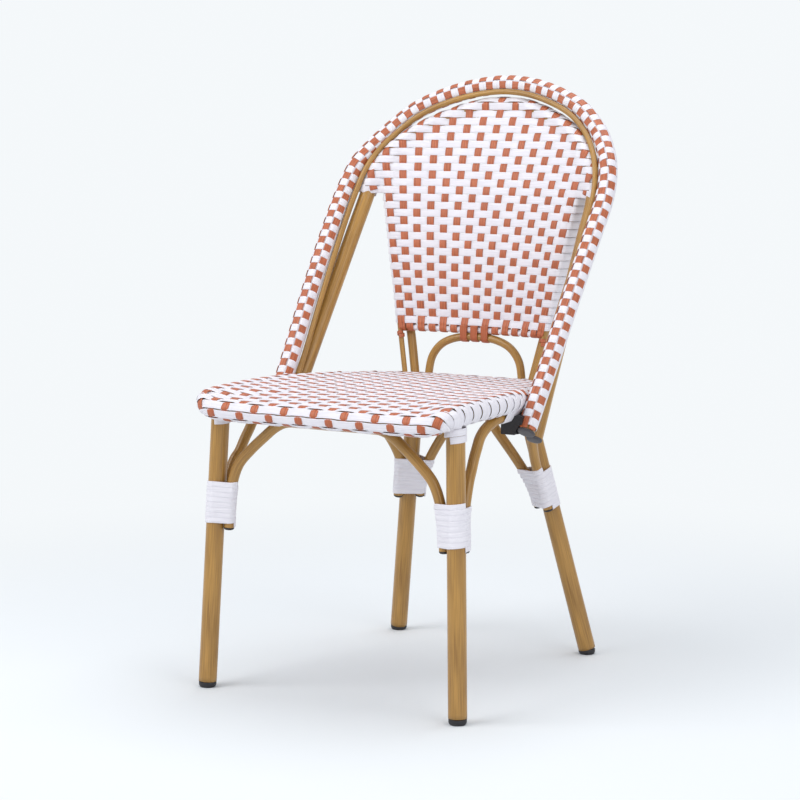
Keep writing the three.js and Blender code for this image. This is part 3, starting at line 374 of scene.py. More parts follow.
# ---- Seat ring: one bent 25 mm tube goes round the seat, and a straight one closes it along the front. The
# weave hides both, with a cross rail and a stretcher that hold them apart underneath ----
RAIL_RADIUS, RAIL_HEIGHT, RAIL_RISE = 12.5, 435, 14.5
SEAT_HALF, SEAT_AHEAD, SEAT_BEHIND = 213, 24, 438
RING_HALF = 1500
FAR = 1e3


def spline(points, count, closed=False):
    """Centripetal Catmull-Rom curve through points, read at even lengths: on each span a cubic with end
    slopes v1 = d12 - d02 + d01 over the knots' root-chord steps. Returns (count, 3)."""
    points = np.asarray(points, float)
    if closed:
        points = np.vstack([points[-1:], points, points[:2]])
    else:
        points = np.vstack([2 * points[0] - points[1], points, 2 * points[-1] - points[-2]])
    fine = []
    t = np.linspace(0, 1, 60, endpoint=False)[:, None]
    for p0, p1, p2, p3 in zip(points[:-3], points[1:-2], points[2:-1], points[3:]):
        a, b, c = (np.linalg.norm(q - p) ** 0.5 for p, q in ((p0, p1), (p1, p2), (p2, p3)))
        v1 = ((p1 - p0) / a - (p2 - p0) / (a + b) + (p2 - p1) / b) * b
        v2 = ((p2 - p1) / b - (p3 - p1) / (b + c) + (p3 - p2) / c) * b
        square, cube = 3 * (p2 - p1) - 2 * v1 - v2, 2 * (p1 - p2) + v1 + v2
        fine.append(p1 + v1 * t + square * t ** 2 + cube * t ** 3)
    fine = np.vstack([*fine, points[-2][None]])
    return resampled(fine, count)


def resampled(line, count):
    """The same line at even steps of its length."""
    line = np.asarray(line, float)
    run = lengths(line)
    goal = np.linspace(0, run[-1], count)
    return np.stack([np.interp(goal, run, line[:, c]) for c in range(line.shape[1])], -1)


def mirror(points):
    """The same points on the other side: x to -x."""
    return np.asarray(points, float) * (-1, 1, 1)


def symmetric(half):
    """A left half from its end to the middle, and its mirror image."""
    half = np.asarray(half, float)
    return np.vstack([half, mirror(half[:-1])[::-1]])


RING_SHARES = np.array([
    (0, 0, 0), (0.587, 0, 0), (0.873, 0, 0.12), (0.937, 0.008, 0.4), (0.983, 0.03, 0.7), (1, 0.06, 0.85),
    (1, 0.186, 0.97), (1, 0.301, 1), (0.967, 0.455, 0.97), (0.906, 0.587, 0.83),
    (0.831, 0.719, 0.62), (0.746, 0.84, 0.38), (0.643, 0.927, 0.2), (0.507, 0.982, 0.07),
    (0.329, 1, 0.03), (0, 1, 0.03)])
ring_half = np.stack([RING_SHARES[:, 0] * SEAT_HALF,
                      -SEAT_AHEAD + RING_SHARES[:, 1] * (SEAT_AHEAD + SEAT_BEHIND),
                      RAIL_HEIGHT + RING_SHARES[:, 2] * RAIL_RISE], -1)
ring = spline(np.vstack([ring_half, mirror(ring_half[1:-1])[::-1]]), 2 * RING_HALF + 1, closed=True)


def ring_at(depth):
    """Place on the ring at a given depth, on the sitter's left: its front and rear middles are ruled out."""
    half = ring[200:RING_HALF + 1]
    return half[np.argmin(np.abs(half[:, 1] - depth) + FAR * (half[:, 0] < 60))]


def paint(names, material):
    """Gives the frame's own pieces a material, where their shape needs nothing more."""
    for name in names:
        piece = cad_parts[name]
        piece.data.materials.clear()
        piece.data.materials.append(material)


paint(["seat_front_rail", "seat_frame_bow", "seat_cross_rail", "seat_stretcher"], bamboo)

# ---- Braces: four bent 16 mm tubes, one on each side of the chair, arched from leg to leg. Their crowns lie
# against the rails, and their ends stand beside the legs, where the bindings hold them ----
BRACE_RADIUS, CROSS_RADIUS, CROSS_DEPTH, CROSS_DROP = 8, 11, 16.0, 10
REACH = LEG_RADIUS + BRACE_RADIUS + 2 * FIT
FRONT_END, REAR_END = 249.3, 245.3


def front_brace_line():
    """The front brace's middle line: shares of the way inward from the leg and of the rise to the crown."""
    shares = np.array([(0, 0), (0.012, 0.22), (0.042, 0.42), (0.104, 0.585), (0.212, 0.715),
                       (0.34, 0.84), (0.46, 0.945), (0.56, 0.993), (0.7, 1), (1, 1)])
    start = front_leg(1, FRONT_END)[0] - REACH
    rise = ring_at(CROSS_DEPTH)[2] - CROSS_DROP - CROSS_RADIUS - BRACE_RADIUS - FIT - FRONT_END
    half = np.stack([-start * (1 - shares[:, 0]), np.full(len(shares), CROSS_DEPTH),
                     FRONT_END + shares[:, 1] * rise], -1)
    return spline(symmetric(half), 300)


def rear_brace_line():
    """The rear brace's middle line, leaning with the rear legs and meeting the ring's rear at its crown."""
    shares = np.array([(0, 0), (0.031, 0.097), (0.108, 0.231), (0.193, 0.33), (0.33, 0.469),
                       (0.471, 0.597), (0.614, 0.72), (0.753, 0.853), (0.865, 0.947), (1, 1)])
    start = rear_leg(1, REAR_END)[0] - REACH
    height = REAR_END + shares[:, 1] * (ring[RING_HALF][2] - RAIL_RADIUS - BRACE_RADIUS - FIT - REAR_END)
    depth = rear_leg(1, height)[:, 1]
    depth += (SEAT_BEHIND - depth) * shares[:, 1] ** 3
    half = np.stack([-start * (1 - shares[:, 0]), depth, height], -1)
    return spline(symmetric(half), 300)


INBOARD = 5


def under_rail(depth):
    """Middle of the side brace where it lies under the rail, a little inboard of it."""
    drop = np.sqrt((RAIL_RADIUS + BRACE_RADIUS + FIT) ** 2 - INBOARD ** 2)
    return ring_at(depth) + (-INBOARD, 0, -drop)


BOUND, BOW, REAR_TURN = 48, 8.6, 0.27
RAIL_SPAN = (155, 302)


def side_drop(leg, end_height, away, rail, shares):
    """Beside the leg for the bound length, then on by shares of the bow, the way along and the rise."""
    beside = [leg(1, end_height + up) + REACH * np.asarray(away) for up in (0, BOUND / 2, BOUND)]
    start = beside[-1]
    drop = [(start[0] + (rail[0] - start[0]) * along - BOW * bow, start[1] + (rail[1] - start[1]) * along,
             start[2] + (rail[2] - start[2]) * up) for bow, along, up in shares]
    return [*beside, *drop]


def side_brace_line(side):
    """The side brace's middle line: down the front leg, along under the rail and down the rear leg."""
    front = [(0.24, 0.157, 0.363), (0.5, 0.259, 0.47), (0.65, 0.36, 0.607), (0.74, 0.452, 0.713),
             (0.78, 0.537, 0.812), (0.68, 0.663, 0.896), (0.28, 0.831, 0.964)]
    rear = [(0.5, 0.04, 0.1), (0.93, 0.16, 0.285), (1, 0.32, 0.495), (0.81, 0.5, 0.697),
            (0.44, 0.7, 0.866), (0.12, 0.87, 0.966)]
    first, last = RAIL_SPAN
    run = [under_rail(first + (last - first) * share) for share in (0, 0.2, 0.48, 0.75, 1)]
    away = (REAR_TURN, -np.sqrt(1 - REAR_TURN ** 2), 0)
    points = [*side_drop(front_leg, FRONT_END, (0, 1, 0), run[0], front), *run,
              *side_drop(rear_leg, REAR_END, away, run[-1], rear)[::-1]]
    return spline(points if side > 0 else mirror(points), 400)


front_brace, rear_brace = front_brace_line(), rear_brace_line()
side_braces = {side: side_brace_line(side) for word, side in SIDES}
for name, line in [("front_brace", front_brace), ("rear_brace", rear_brace)]:
    build(f"{name}_tube", [tube(line, BRACE_RADIUS)], bamboo, "bamboo_tube", name)
for word, side in SIDES:
    build(f"side_brace_tube_{word}", [tube(side_braces[side], BRACE_RADIUS)], bamboo, "bamboo_tube",
          f"side_brace_{word}")

# ---- Brace caps: black plastic plugs with a low domed head, pressed into each brace's two open ends, which
# point down beside the legs and show below the bindings ----
DOME = [(-2, 7.2), (0.2, 7.3), (0.2, 8), (1.6, 7.9), (2.8, 7.3), (3.6, 6.2), (4.1, 4.4), (4.3, 2.2),
        (4.35, 0.4)]


def end_of(line, last):
    """A line's end and its outward direction there."""
    return (line[-1], unit(line[-1] - line[-3])) if last else (line[0], unit(line[0] - line[2]))


for word, side in SIDES:
    for name, line, last in [("front_brace_cap", front_brace, side > 0),
                             ("rear_brace_cap", rear_brace, side > 0),
                             ("side_brace_front_cap", side_braces[side], False),
                             ("side_brace_rear_cap", side_braces[side], True)]:
        cap = turned(*end_of(line, last), DOME, 28)
        build(f"{name}_domed_{word}", [cap], black, "black_plastic", f"{name}_{word}")

# ---- Bindings: one flat white strand, wound eight times round each leg and the two brace ends beside it, on
# the outline that closes round all three ----
def hull_reach(circles, angle):
    """Point farthest out in a direction on the outline round circles: centre c and radius r with the most
    c.u + r, where u is the direction."""
    u = np.stack([np.cos(angle), np.sin(angle)], -1)
    reach = np.stack([c[0] * u[:, 0] + c[1] * u[:, 1] + r for c, r in circles], -1)
    best = np.argmax(reach, -1)
    centres = np.array([c for c, r in circles], float)[best]
    radii = np.array([r for c, r in circles], float)[best]
    return centres + radii[:, None] * u


def flat_section(width, height, crown=0.0):
    """A flat strand's outline with rounded edges and a slightly raised middle."""
    w, h = width / 2, height / 2
    return [(w, -h * 0.45), (w, h * 0.45), (w * 0.9, h), (w * 0.45, h + crown), (-w * 0.45, h + crown),
            (-w * 0.9, h), (-w, h * 0.45), (-w, -h * 0.45), (-w * 0.9, -h), (w * 0.9, -h)]


BINDING_HEIGHT, BINDING_TURNS, BINDING_WIDTH, BINDING_LIFT = 72, 8, 8.4, 1.1
NEARBY, END_SHOWS = 110, 1


def binding(leg, side, foot, braces):
    """A strand on the outline that closes round leg and braces, rising by one pitch a turn."""
    origin, axis = leg(side, foot), unit(leg(side, LEG_SPAN) - leg(side, 0))
    first = unit(np.array([1.0, 0, 0]) - axis[0] * axis)
    second = np.cross(axis, first)
    steps = 64
    pitch = (BINDING_HEIGHT - BINDING_WIDTH) / BINDING_TURNS
    turns = np.arange(BINDING_TURNS * steps + 1) / steps
    centres = []
    for height, angle in zip(BINDING_WIDTH / 2 + pitch * turns, 2 * np.pi * turns):
        circles = [((0.0, 0.0), LEG_RADIUS + BINDING_LIFT)]
        for line in braces:
            away = line - origin
            miss = np.abs(away @ axis - height) + FAR * (np.linalg.norm(away, axis=1) > NEARBY)
            near = away[np.argmin(miss)]
            circles.append(((near @ first, near @ second), BRACE_RADIUS + BINDING_LIFT))
        x, y = hull_reach(circles, np.array([angle]))[0]
        centres.append(origin + height * axis + x * first + y * second)
    centres = resampled(centres, 900)
    along = unit(np.gradient(centres, axis=0))
    wide = unit(axis - (along @ axis)[:, None] * along)
    return sweep(centres, wide, np.cross(along, wide), flat_section(BINDING_WIDTH, 1.5, 0.25))


for word, side in SIDES:
    for end, leg, foot, brace in [("front", front_leg, FRONT_END, front_brace),
                                  ("rear", rear_leg, REAR_END, rear_brace)]:
        bound = binding(leg, side, foot + END_SHOWS, [brace, side_braces[side]])
        build(f"{end}_binding_strand_{word}", [bound], white, "white_strand", f"{end}_binding_{word}")

# ---- Woven seat: 17 terracotta strands run front to back, white ones cross them in a plain weave, and all
# roll over the rail and tuck in under it. Beyond the outermost terracotta strands the rail is all white ----
ROLL = 14.8
STRAND, THICK, SWING = 12.6, 1.0, 0.8


def roll_over(flat, edge, radius, sheet):
    """Lays flat points over a rail: beyond the nearest edge point q by e, the place is
    q + radius*(sin(e/radius)*outward + cos(e/radius)*up); inside it is sheet(flat, that place at e = 0, e).
    Returns places, surface directions out of the weave, and e."""
    nearest = np.argmin(((edge["flat"][None] - flat[:, None]) ** 2).sum(2), 1)
    q, outward, up = edge["flat"][nearest], edge["outward"][nearest], edge["up"][nearest]
    e = np.sum((flat - q) * outward, 1)
    turn = (np.maximum(e, 0) / radius)[:, None]
    normals = np.sin(turn) * edge["lift"](outward) + np.cos(turn) * up
    places = edge["places"][nearest] + radius * normals
    inside = e <= 0
    places[inside] = sheet(flat[inside], places[inside], e[inside])
    return places, normals, e


def sloped_line(flat, *roll):
    """roll_over, with the directions inside the rim taken from the surface's own slope."""
    places, normals, e = roll_over(flat, *roll)
    across = [roll_over(flat + d, *roll)[0] - roll_over(flat - d, *roll)[0] for d in np.eye(2) * 2.5]
    slope = unit(np.cross(*across))
    slope *= np.sign(np.sum(slope * normals, 1))[:, None]
    normals[e <= 0] = slope[e <= 0]
    return places, normals, e


def wave(turn, flatness=3.2):
    """A cosine with flattened crests: tanh(f cos t)/tanh f."""
    return np.tanh(flatness * np.cos(turn)) / np.tanh(flatness)


def strand(places, normals, offset, width=STRAND, thick=THICK, crown=0.22):
    """A flat strand along places, lifted by offset along the surface's direction."""
    lifted = np.hstack([places + offset[:, None] * normals, normals])
    both = resampled(lifted, max(int(len(places) * 0.9), 8))
    centres, normals = both[:, :3], unit(both[:, 3:])
    along = unit(np.gradient(centres, axis=0))
    out = unit(normals - np.sum(normals * along, 1)[:, None] * along)
    return sweep(centres, np.cross(along, out), out, flat_section(width, thick, crown))


SEAT_MIDDLE, SEAT_CROWN = np.array([0.0, 190.0]), 457.5
ring_flat = ring[:-1, :2]
ring_along = unit(np.gradient(ring[:-1], axis=0))
ring_out = unit(np.stack([ring_along[:, 1], -ring_along[:, 0]], -1))
if np.mean(np.sum(ring_out * (ring_flat - SEAT_MIDDLE), 1)) < 0:
    ring_out = -ring_out
seat_edge = {"flat": ring_flat, "places": ring[:-1], "outward": ring_out,
             "up": np.tile([0.0, 0, 1], (len(ring_flat), 1)),
             "lift": lambda outward: np.column_stack([outward, np.zeros(len(outward))])}


def around_seat(flat):
    """Turn and distance of flat points about the seat's middle."""
    away = flat - SEAT_MIDDLE
    return np.mod(np.arctan2(away[:, 1], away[:, 0]), 2 * np.pi), np.hypot(away[:, 0], away[:, 1])


ring_turn, ring_reach = around_seat(ring_flat)


def seat_sheet(flat, rim, e):
    """Height inside the ring: crown + (top - crown)*share^3, where top is the weave's height over the rail
    at the same turn, and share is how much of the way from the middle to the rail the point has come."""
    turn, reach = around_seat(flat)
    share = np.minimum(reach / np.interp(turn, ring_turn, ring_reach, period=2 * np.pi), 1)
    top = np.interp(turn, ring_turn, ring[:-1, 2], period=2 * np.pi) + ROLL
    height = SEAT_CROWN + (top - SEAT_CROWN) * share ** 3
    return np.column_stack([flat, height + (rim[:, 2] - height) * np.clip(1 + e / 12, 0, 1)])


SEAT_PITCH, SEAT_ROW, SEAT_FIRST = 26.2, 13.0, -39.1
SIDE_WRAP, WHITE_RIDE = (118, 322), 0.2


def seat_strand(flat, phase, sign, width):
    """The strand over a flat line, cut where its wrap has come far enough under the rail: sooner where the
    seat's sides are straight, beside the hoops."""
    places, normals, e = sloped_line(flat, seat_edge, ROLL, seat_sheet)
    side = (flat[:, 1] > SIDE_WRAP[0]) & (flat[:, 1] < SIDE_WRAP[1])
    keep = np.flatnonzero(e < ROLL * np.pi * np.where(side, 0.97, 1.2))
    kept = slice(keep[0], keep[-1] + 1)
    lift = WHITE_RIDE if sign < 0 else 0
    return strand(places[kept], normals[kept], lift + sign * SWING * wave(phase[kept]), width)


warps, wefts = [], []
for i in range(-8, 9):
    y = np.arange(-110, 520, 1.9)
    flat = np.stack([np.full(len(y), i * SEAT_PITCH), y], -1)
    warps.append(seat_strand(flat, np.pi * ((y - SEAT_FIRST) / SEAT_ROW + i), 1, STRAND))
for j in range(-3, 42):
    x = np.arange(-290, 290.1, 2.1)
    flat = np.stack([x, np.full(len(x), SEAT_FIRST + j * SEAT_ROW)], -1)
    wefts.append(seat_strand(flat, np.pi * (x / SEAT_PITCH + j), -1, 12.4))
build("seat_warp_strands", warps, terracotta, "terracotta_strand")
build("seat_weft_strands", wefts, white, "white_strand", "seat_weave")

# ---- Collars and seizings: white strand wound round each front leg's head, and round each side brace's
# crown with the rail above it, where the seat's wraps leave the two tubes bare ----
def wound(line, axis_up, circles_at, pitch, width, steps=40):
    """A strand wound along a line: turn t lies on the outline round the circles in the plane across it."""
    run = lengths(line)
    tangents = unit(np.gradient(line, axis=0))
    count = int((run[-1] - width) / pitch * steps)
    centres, along_axis = [], []
    for k in range(count + 1):
        place = width / 2 + pitch * k / steps
        middle, t = (np.array([np.interp(place, run, a[:, c]) for c in range(3)]) for a in (line, tangents))
        t = unit(t)
        first = unit(axis_up - (axis_up @ t) * t)
        second = np.cross(t, first)
        x, y = hull_reach(circles_at(middle, first, second), np.array([2 * np.pi * k / steps]))[0]
        centres.append(middle + x * first + y * second)
        along_axis.append(t)
    both = resampled(np.hstack([centres, along_axis]), count + 1)
    centres, axis = both[:, :3], unit(both[:, 3:])
    along = unit(np.gradient(centres, axis=0))
    wide = unit(axis - np.sum(axis * along, 1)[:, None] * along)
    return sweep(centres, wide, np.cross(along, wide), flat_section(width, 1.3, 0.2))


COLLAR, SEIZING = (407, 440), (148, 214)
for word, side in SIDES:
    head = front_leg(side, np.linspace(*COLLAR, 30))
    collar = wound(head, np.array([0.0, -1, 0]), lambda *plane: [((0, 0), LEG_RADIUS + 1.6)], 10.5, 10)
    crown = np.array([under_rail(depth) for depth in np.linspace(*SEIZING, 40)]) * (side, 1, 1)

    def rail_and_brace(middle, first, second):
        rail = ring_at(middle[1]) * (side, 1, 1) - middle
        return [((0.0, 0.0), BRACE_RADIUS + 1.2), ((rail @ first, rail @ second), RAIL_RADIUS + 1.4)]

    seizing = wound(crown, np.array([0.0, 0, 1]), rail_and_brace, 11.5, 11)
    build(f"seat_collar_{word}", [collar, seizing], white, "white_strand")

# ---- Outer hoop: the big bent tube over the back, from one side of the seat to the other. Its woven sleeve
# has three checkered columns in front and is plain white behind, and dark caps close its two low ends ----
HOOP_RADIUS, HOOP_HALF, HOOP_POINTS = 12.5, 239.5, 1601
HOOP_FOOT, HOOP_SPAN = (194.3, 405), (356.4, 515.1)
OUTER_SHARES = np.array([
    (0.949, 0, 0), (0.958, 0.095, 0.097), (0.966, 0.18, 0.184), (0.985, 0.364, 0.379), (0.999, 0.559, 0.573),
    (1, 0.641, 0.65), (0.983, 0.701, 0.714), (0.962, 0.731, 0.748), (0.922, 0.773, 0.782),
    (0.857, 0.822, 0.824), (0.792, 0.858, 0.858), (0.635, 0.912, 0.92), (0.46, 0.948, 0.958),
    (0.314, 0.973, 0.98), (0.166, 0.992, 0.994), (0, 1, 1)])
outer_half = np.stack([-OUTER_SHARES[:, 0] * HOOP_HALF, HOOP_FOOT[0] + OUTER_SHARES[:, 1] * HOOP_SPAN[0],
                       HOOP_FOOT[1] + OUTER_SHARES[:, 2] * HOOP_SPAN[1]], -1)
outer_hoop = spline(symmetric(outer_half), HOOP_POINTS)
hoop_along = unit(np.gradient(outer_hoop, axis=0))
hoop_side = unit(np.cross(hoop_along, (0, 1, 0)))
hoop_front = unit(np.cross(hoop_side, hoop_along))
if hoop_front[HOOP_POINTS // 2][1] > 0:
    hoop_front, hoop_side = -hoop_front, -hoop_side
hoop_run = lengths(outer_hoop)


def on_hoop(run, turn, radius):
    """Place and outward direction on the hoop's sleeve: turn is measured from straight ahead."""
    middle, front, side = (np.stack([np.interp(run, hoop_run, field[:, c]) for c in range(3)], -1)
                           for field in (outer_hoop, hoop_front, hoop_side))
    out = np.cos(turn)[:, None] * unit(front) + np.sin(turn)[:, None] * unit(side)
    return middle + radius[:, None] * out, out


HOOP_ROW, HOOP_FIRST, COLUMN = 12.6, 6.6, np.radians(58)
COLUMN_LIFT, SLEEVE_LIFT, HOOP_SWING = 13.6, 13.95, SWING * 0.85
columns, sleeve = [], []
run = np.linspace(1, hoop_run[-1] - 1, 1500)
for c in (-1, 0, 1):
    lift = COLUMN_LIFT + HOOP_SWING * wave(np.pi * ((run - HOOP_FIRST) / HOOP_ROW + c))
    places, out = on_hoop(run, np.full(len(run), c * COLUMN), lift)
    columns.append(strand(places, out, np.zeros(len(run)), 12.0, 0.9, 0.15))
turn = np.linspace(-np.pi, np.pi, 91)
bare = np.zeros(len(turn))
for row in range(int(hoop_run[-1] / HOOP_ROW)):
    lift = SLEEVE_LIFT + np.where(np.abs(turn) < 1.5 * COLUMN,
                                  -HOOP_SWING * wave(np.pi * (turn / COLUMN + row), 4.5), SWING * 0.2)
    centre_run = np.full(len(turn), HOOP_ROW * row + HOOP_FIRST)
    places, out = on_hoop(np.minimum(centre_run, hoop_run[-1] - 1), turn, lift)
    ahead, behind = on_hoop(centre_run + 1, turn, bare)[0], on_hoop(centre_run - 1, turn, bare)[0]
    sleeve.append(sweep(places, unit(ahead - behind), out, flat_section(12.5, 0.9, 0.05)))
build("outer_hoop_columns", columns, terracotta, "terracotta_strand")
build("outer_hoop_sleeve", sleeve, white, "white_strand", "outer_hoop_weave")
build("outer_hoop_tube", [tube(outer_hoop, HOOP_RADIUS - 0.1)], bamboo, "bamboo_tube", "outer_hoop")


def hoop_plugs(name, hoop, dome):
    """A domed cap in each low end of a hoop."""
    for word, side in SIDES:
        cap = turned(*end_of(hoop, side > 0), dome, 36)
        build(f"{name}_plug_{word}", [cap], grey, "black_plastic", f"{name}_cap_{word}")


hoop_plugs("outer_hoop", outer_hoop, [(-3, 9.8), (0.2, 10), (0.2, 14.2), (1.2, 14.2), (2.4, 13.6),
                                      (3.1, 12.4), (3.3, 10), (3.4, 4), (3.4, 0.4)])

# ---- Inner hoop: a bare 25 mm tube that leans up from the brackets, stays inside the outer hoop and arches
# behind the woven panel's top, which hangs from it. Dark caps close its low ends too ----
PANEL_FOOT, PANEL_SPAN = 525, 273


def back_at(x, z):
    """Depth of the woven back: 444.9 + 0.0193 t + t^2/1736 - x^2/1176, with t = z - PANEL_FOOT."""
    t = np.asarray(z, float) - PANEL_FOOT
    return 444.9 + 0.0193 * t + t ** 2 / 1736 - np.asarray(x, float) ** 2 / 1176


def back_slope(z):
    """How far the woven back goes back per millimetre up: the derivative of back_at by z."""
    return 0.0193 + 2 * (z - PANEL_FOOT) / 1736


INNER_HALF, INNER_FOOT, BEND_SHARE, BEND_HEIGHT, CROWN_RISE = 223.8, (227, 390), 0.934, 738, 147
INNER_BEHIND, CROWN_BEHIND = 9, 3
bend_depth = back_at(INNER_HALF * BEND_SHARE, BEND_HEIGHT) + INNER_BEHIND
low = [(-INNER_HALF * across, INNER_FOOT[0] + up * (bend_depth - INNER_FOOT[0]),
        INNER_FOOT[1] + up * (BEND_HEIGHT - INNER_FOOT[1]))
       for across, up in [(1, 0), (0.993, 0.102), (0.98, 0.306), (0.961, 0.598), (0.945, 0.845)]]
high = [(-INNER_HALF * across,
         back_at(across * INNER_HALF, BEND_HEIGHT + CROWN_RISE * up) + INNER_BEHIND + CROWN_BEHIND * up,
         BEND_HEIGHT + CROWN_RISE * up)
        for across, up in [(BEND_SHARE, 0), (0.92, 0.134), (0.886, 0.289), (0.826, 0.436), (0.728, 0.597),
                           (0.584, 0.752), (0.402, 0.876), (0.203, 0.97), (0, 1)]]
inner_hoop = spline(symmetric(low + high), 1401)
build("inner_hoop_tube", [tube(inner_hoop, HOOP_RADIUS, 40)], bamboo, "bamboo_tube", "inner_hoop")
hoop_plugs("inner_hoop", inner_hoop, [(-3, 10), (0.2, 10.2), (0.2, 12.4), (1.4, 12.3), (2.4, 11.6), (3, 10),
                                      (3.2, 4), (3.2, 0.4)])

# ---- Spacer rod: a 9 mm rod bent to follow both hoops, in the valley between them. Low down it lies inboard
# of the outer hoop, and over the crown it moves round to the front ----
SPACER_RADIUS, SLEEVE_RADIUS, SPACER_FOOT = 4.5, 15.3, 455
turn_up = np.array([0.097, 0.25, 0.38, 0.49, 0.6, 0.72, 0.825, 1])
turn_share = np.array([0.233, 0.15, 0.122, 0.1, 0.05, -0.017, -0.117, -0.117])
low_end = np.argmax(outer_hoop[:, 2] > SPACER_FOOT)
rear = unit(np.array([0, HOOP_SPAN[1], -HOOP_SPAN[0]]))
spacer = []
for i in np.linspace(low_end, HOOP_POINTS - 1 - low_end, 240).astype(int):
    inward = unit(np.cross(rear, hoop_along[i]))
    behind = unit(np.cross(hoop_along[i], inward))
    z = outer_hoop[i][2]
    angle = np.pi * np.interp((z - HOOP_FOOT[1]) / HOOP_SPAN[1], turn_up, turn_share)
    reach = SLEEVE_RADIUS + FIT + SPACER_RADIUS + 1.2 * np.exp(-((z - 765) / 50) ** 2)
    spacer.append(outer_hoop[i] + reach * (np.cos(angle) * inward + np.sin(angle) * behind))
spacer = spline(spacer[::6] + [spacer[-1]], 600)
build("hoop_spacer_bent_rod", [tube(spacer, SPACER_RADIUS, 20)], bamboo, "bamboo_tube", "hoop_spacer_rod")

# ---- Panel frame: a thin side rod and a post behind it on each side, from the seat ring to the inner hoop,
# and a bottom rail between the rods, wrapped in white. Only the rods' and posts' lowest part is bare ----
ROD, POST, ROD_BACK = 4.25, 7.25, 8
ROD_FOOT, POST_FOOT, POST_INSET, POST_SETBACK = (115, 417), (106, 434), 8.5, 17.5
PANEL_FOOT_HALF, PANEL_SPREAD, BOTTOM_HALF = 133.9, 54.8, 129.6
ROD_SHARES = [(0, 0, 0), (0.185, 0.205, 0.85), (0.38, 0.41, 1), (0.585, 0.615, 1), (0.805, 0.824, 0.75),
              (1, 1, 0.25)]
POST_SHARES = [(1, 1), (0.21, 0.857), (-0.24, 0.77), (-0.34, 0.743), (-0.16, 0.714), (0.21, 0.714)]
rod_points, post_points = [(*ROD_FOOT, RAIL_HEIGHT)], [(*POST_FOOT, RAIL_HEIGHT)]
for (spread, up, back), (inset, setback) in zip(ROD_SHARES, POST_SHARES):
    x, z = PANEL_FOOT_HALF + spread * PANEL_SPREAD, PANEL_FOOT + up * PANEL_SPAN
    y = back_at(x, z) + ROD_BACK * back
    rod_points.append((x, y, z))
    post_points.append((x - POST_INSET * inset, y + POST_SETBACK * setback, z))
rod, post = spline(rod_points, 400), spline(post_points, 400)
for word, side in SIDES:
    for name, node, line, radius, head, corners in [
        ("panel_rod_bent", "panel_side_rod", rod, ROD, 791, 20),
        ("panel_post_tube", "panel_post", post, POST, 790, 28),
    ]:
        shown = line[(line[:, 2] > RAIL_HEIGHT + 5) & (line[:, 2] < head)] * (side, 1, 1)
        build(f"{name}_{word}", [tube(shown, radius, corners)], bamboo, "bamboo_tube", f"{node}_{word}")
x = np.linspace(-BOTTOM_HALF, BOTTOM_HALF, 60)
bottom = np.stack([x, back_at(x, PANEL_FOOT), np.full(60, PANEL_FOOT)], -1)
build("panel_bottom_bent_rail", [tube(bottom, ROD, 20)], bamboo, "bamboo_tube", "panel_bottom_rail")
build("panel_bottom_rail_wrap", [tube(bottom[2:-2], ROD + 0.5, 28)], white, "white_strand")

# ---- Lumbar arch: a 13 mm tube bent in a bow. It stands on the seat ring's rear and touches the panel's
# bottom rail at its crown ----
ARCH_RADIUS, ARCH_HALF, ARCH_DEPTH, ARCH_LEAN, ARCH_FOOT = 6.5, 86.6, 441, 3.9, 441
crown = PANEL_FOOT - ROD - ARCH_RADIUS - FIT
arch = [(-ARCH_HALF * across, ARCH_DEPTH + up * ARCH_LEAN, RAIL_HEIGHT + up * (crown - RAIL_HEIGHT))
        for across, up in [(1, 0), (0.993, 0.23), (0.924, 0.56), (0.739, 0.81), (0.439, 0.955), (0, 1)]]
arch = spline(symmetric(arch), 300)
arch = arch[arch[:, 2] > ARCH_FOOT]
build("lumbar_arch_tube", [tube(arch, ARCH_RADIUS, 28)], bamboo, "bamboo_tube", "lumbar_arch")

# ---- Woven back: 15 terracotta strands and a short one beside them at each upper corner, a little wider
# apart towards the top, crossed by white ones in a plain weave. The strands wrap the bottom rail, the side
# rods with their posts, and the inner hoop's arch on top ----
BACK_ROW, BACK_FIRST, BACK_TOP, ARCH_ROLL, FRONT_LIFT = 12.4, 525.5, 746, 13.7, 5.4
TOP_TUCK = ARCH_ROLL * np.pi * 1.25
arch_part = inner_hoop[inner_hoop[:, 2] > BACK_TOP]
arch_along = unit(np.gradient(arch_part, axis=0))
level = np.zeros(len(arch_part))
arch_up = unit(np.stack([level, level - 1, back_slope(arch_part[:, 2])], -1))
arch_flat = (arch_part + ARCH_ROLL * arch_up)[:, [0, 2]]
arch_out = unit(np.stack([-arch_along[:, 2], arch_along[:, 0]], -1))
if np.mean(np.sum(arch_out * (arch_flat - (0, 700)), 1)) < 0:
    arch_out = -arch_out


def arch_lift(outward):
    """A flat (x, z) direction laid in the leaning back, which leans more where the arch is higher."""
    x, z = outward.T
    return unit(np.stack([x, (0.274 + 0.16 * np.maximum(z, 0)) * z, z], -1))


arch_edge = {"flat": arch_flat, "places": arch_part, "outward": arch_out, "up": arch_up, "lift": arch_lift}


def pitch_at(z):
    """Distance between terracotta strands at a height."""
    return 20.3 + 0.0245 * (z - 575)


def rod_at(z):
    """Half-width and depth of the side rods at a height."""
    return np.interp(z, rod[:, 2], rod[:, 0]), np.interp(z, rod[:, 2], rod[:, 1])


def smoothstep(t):
    """3t^2 - 2t^3, held to t between 0 and 1."""
    t = np.clip(t, 0, 1)
    return t * t * (3 - 2 * t)


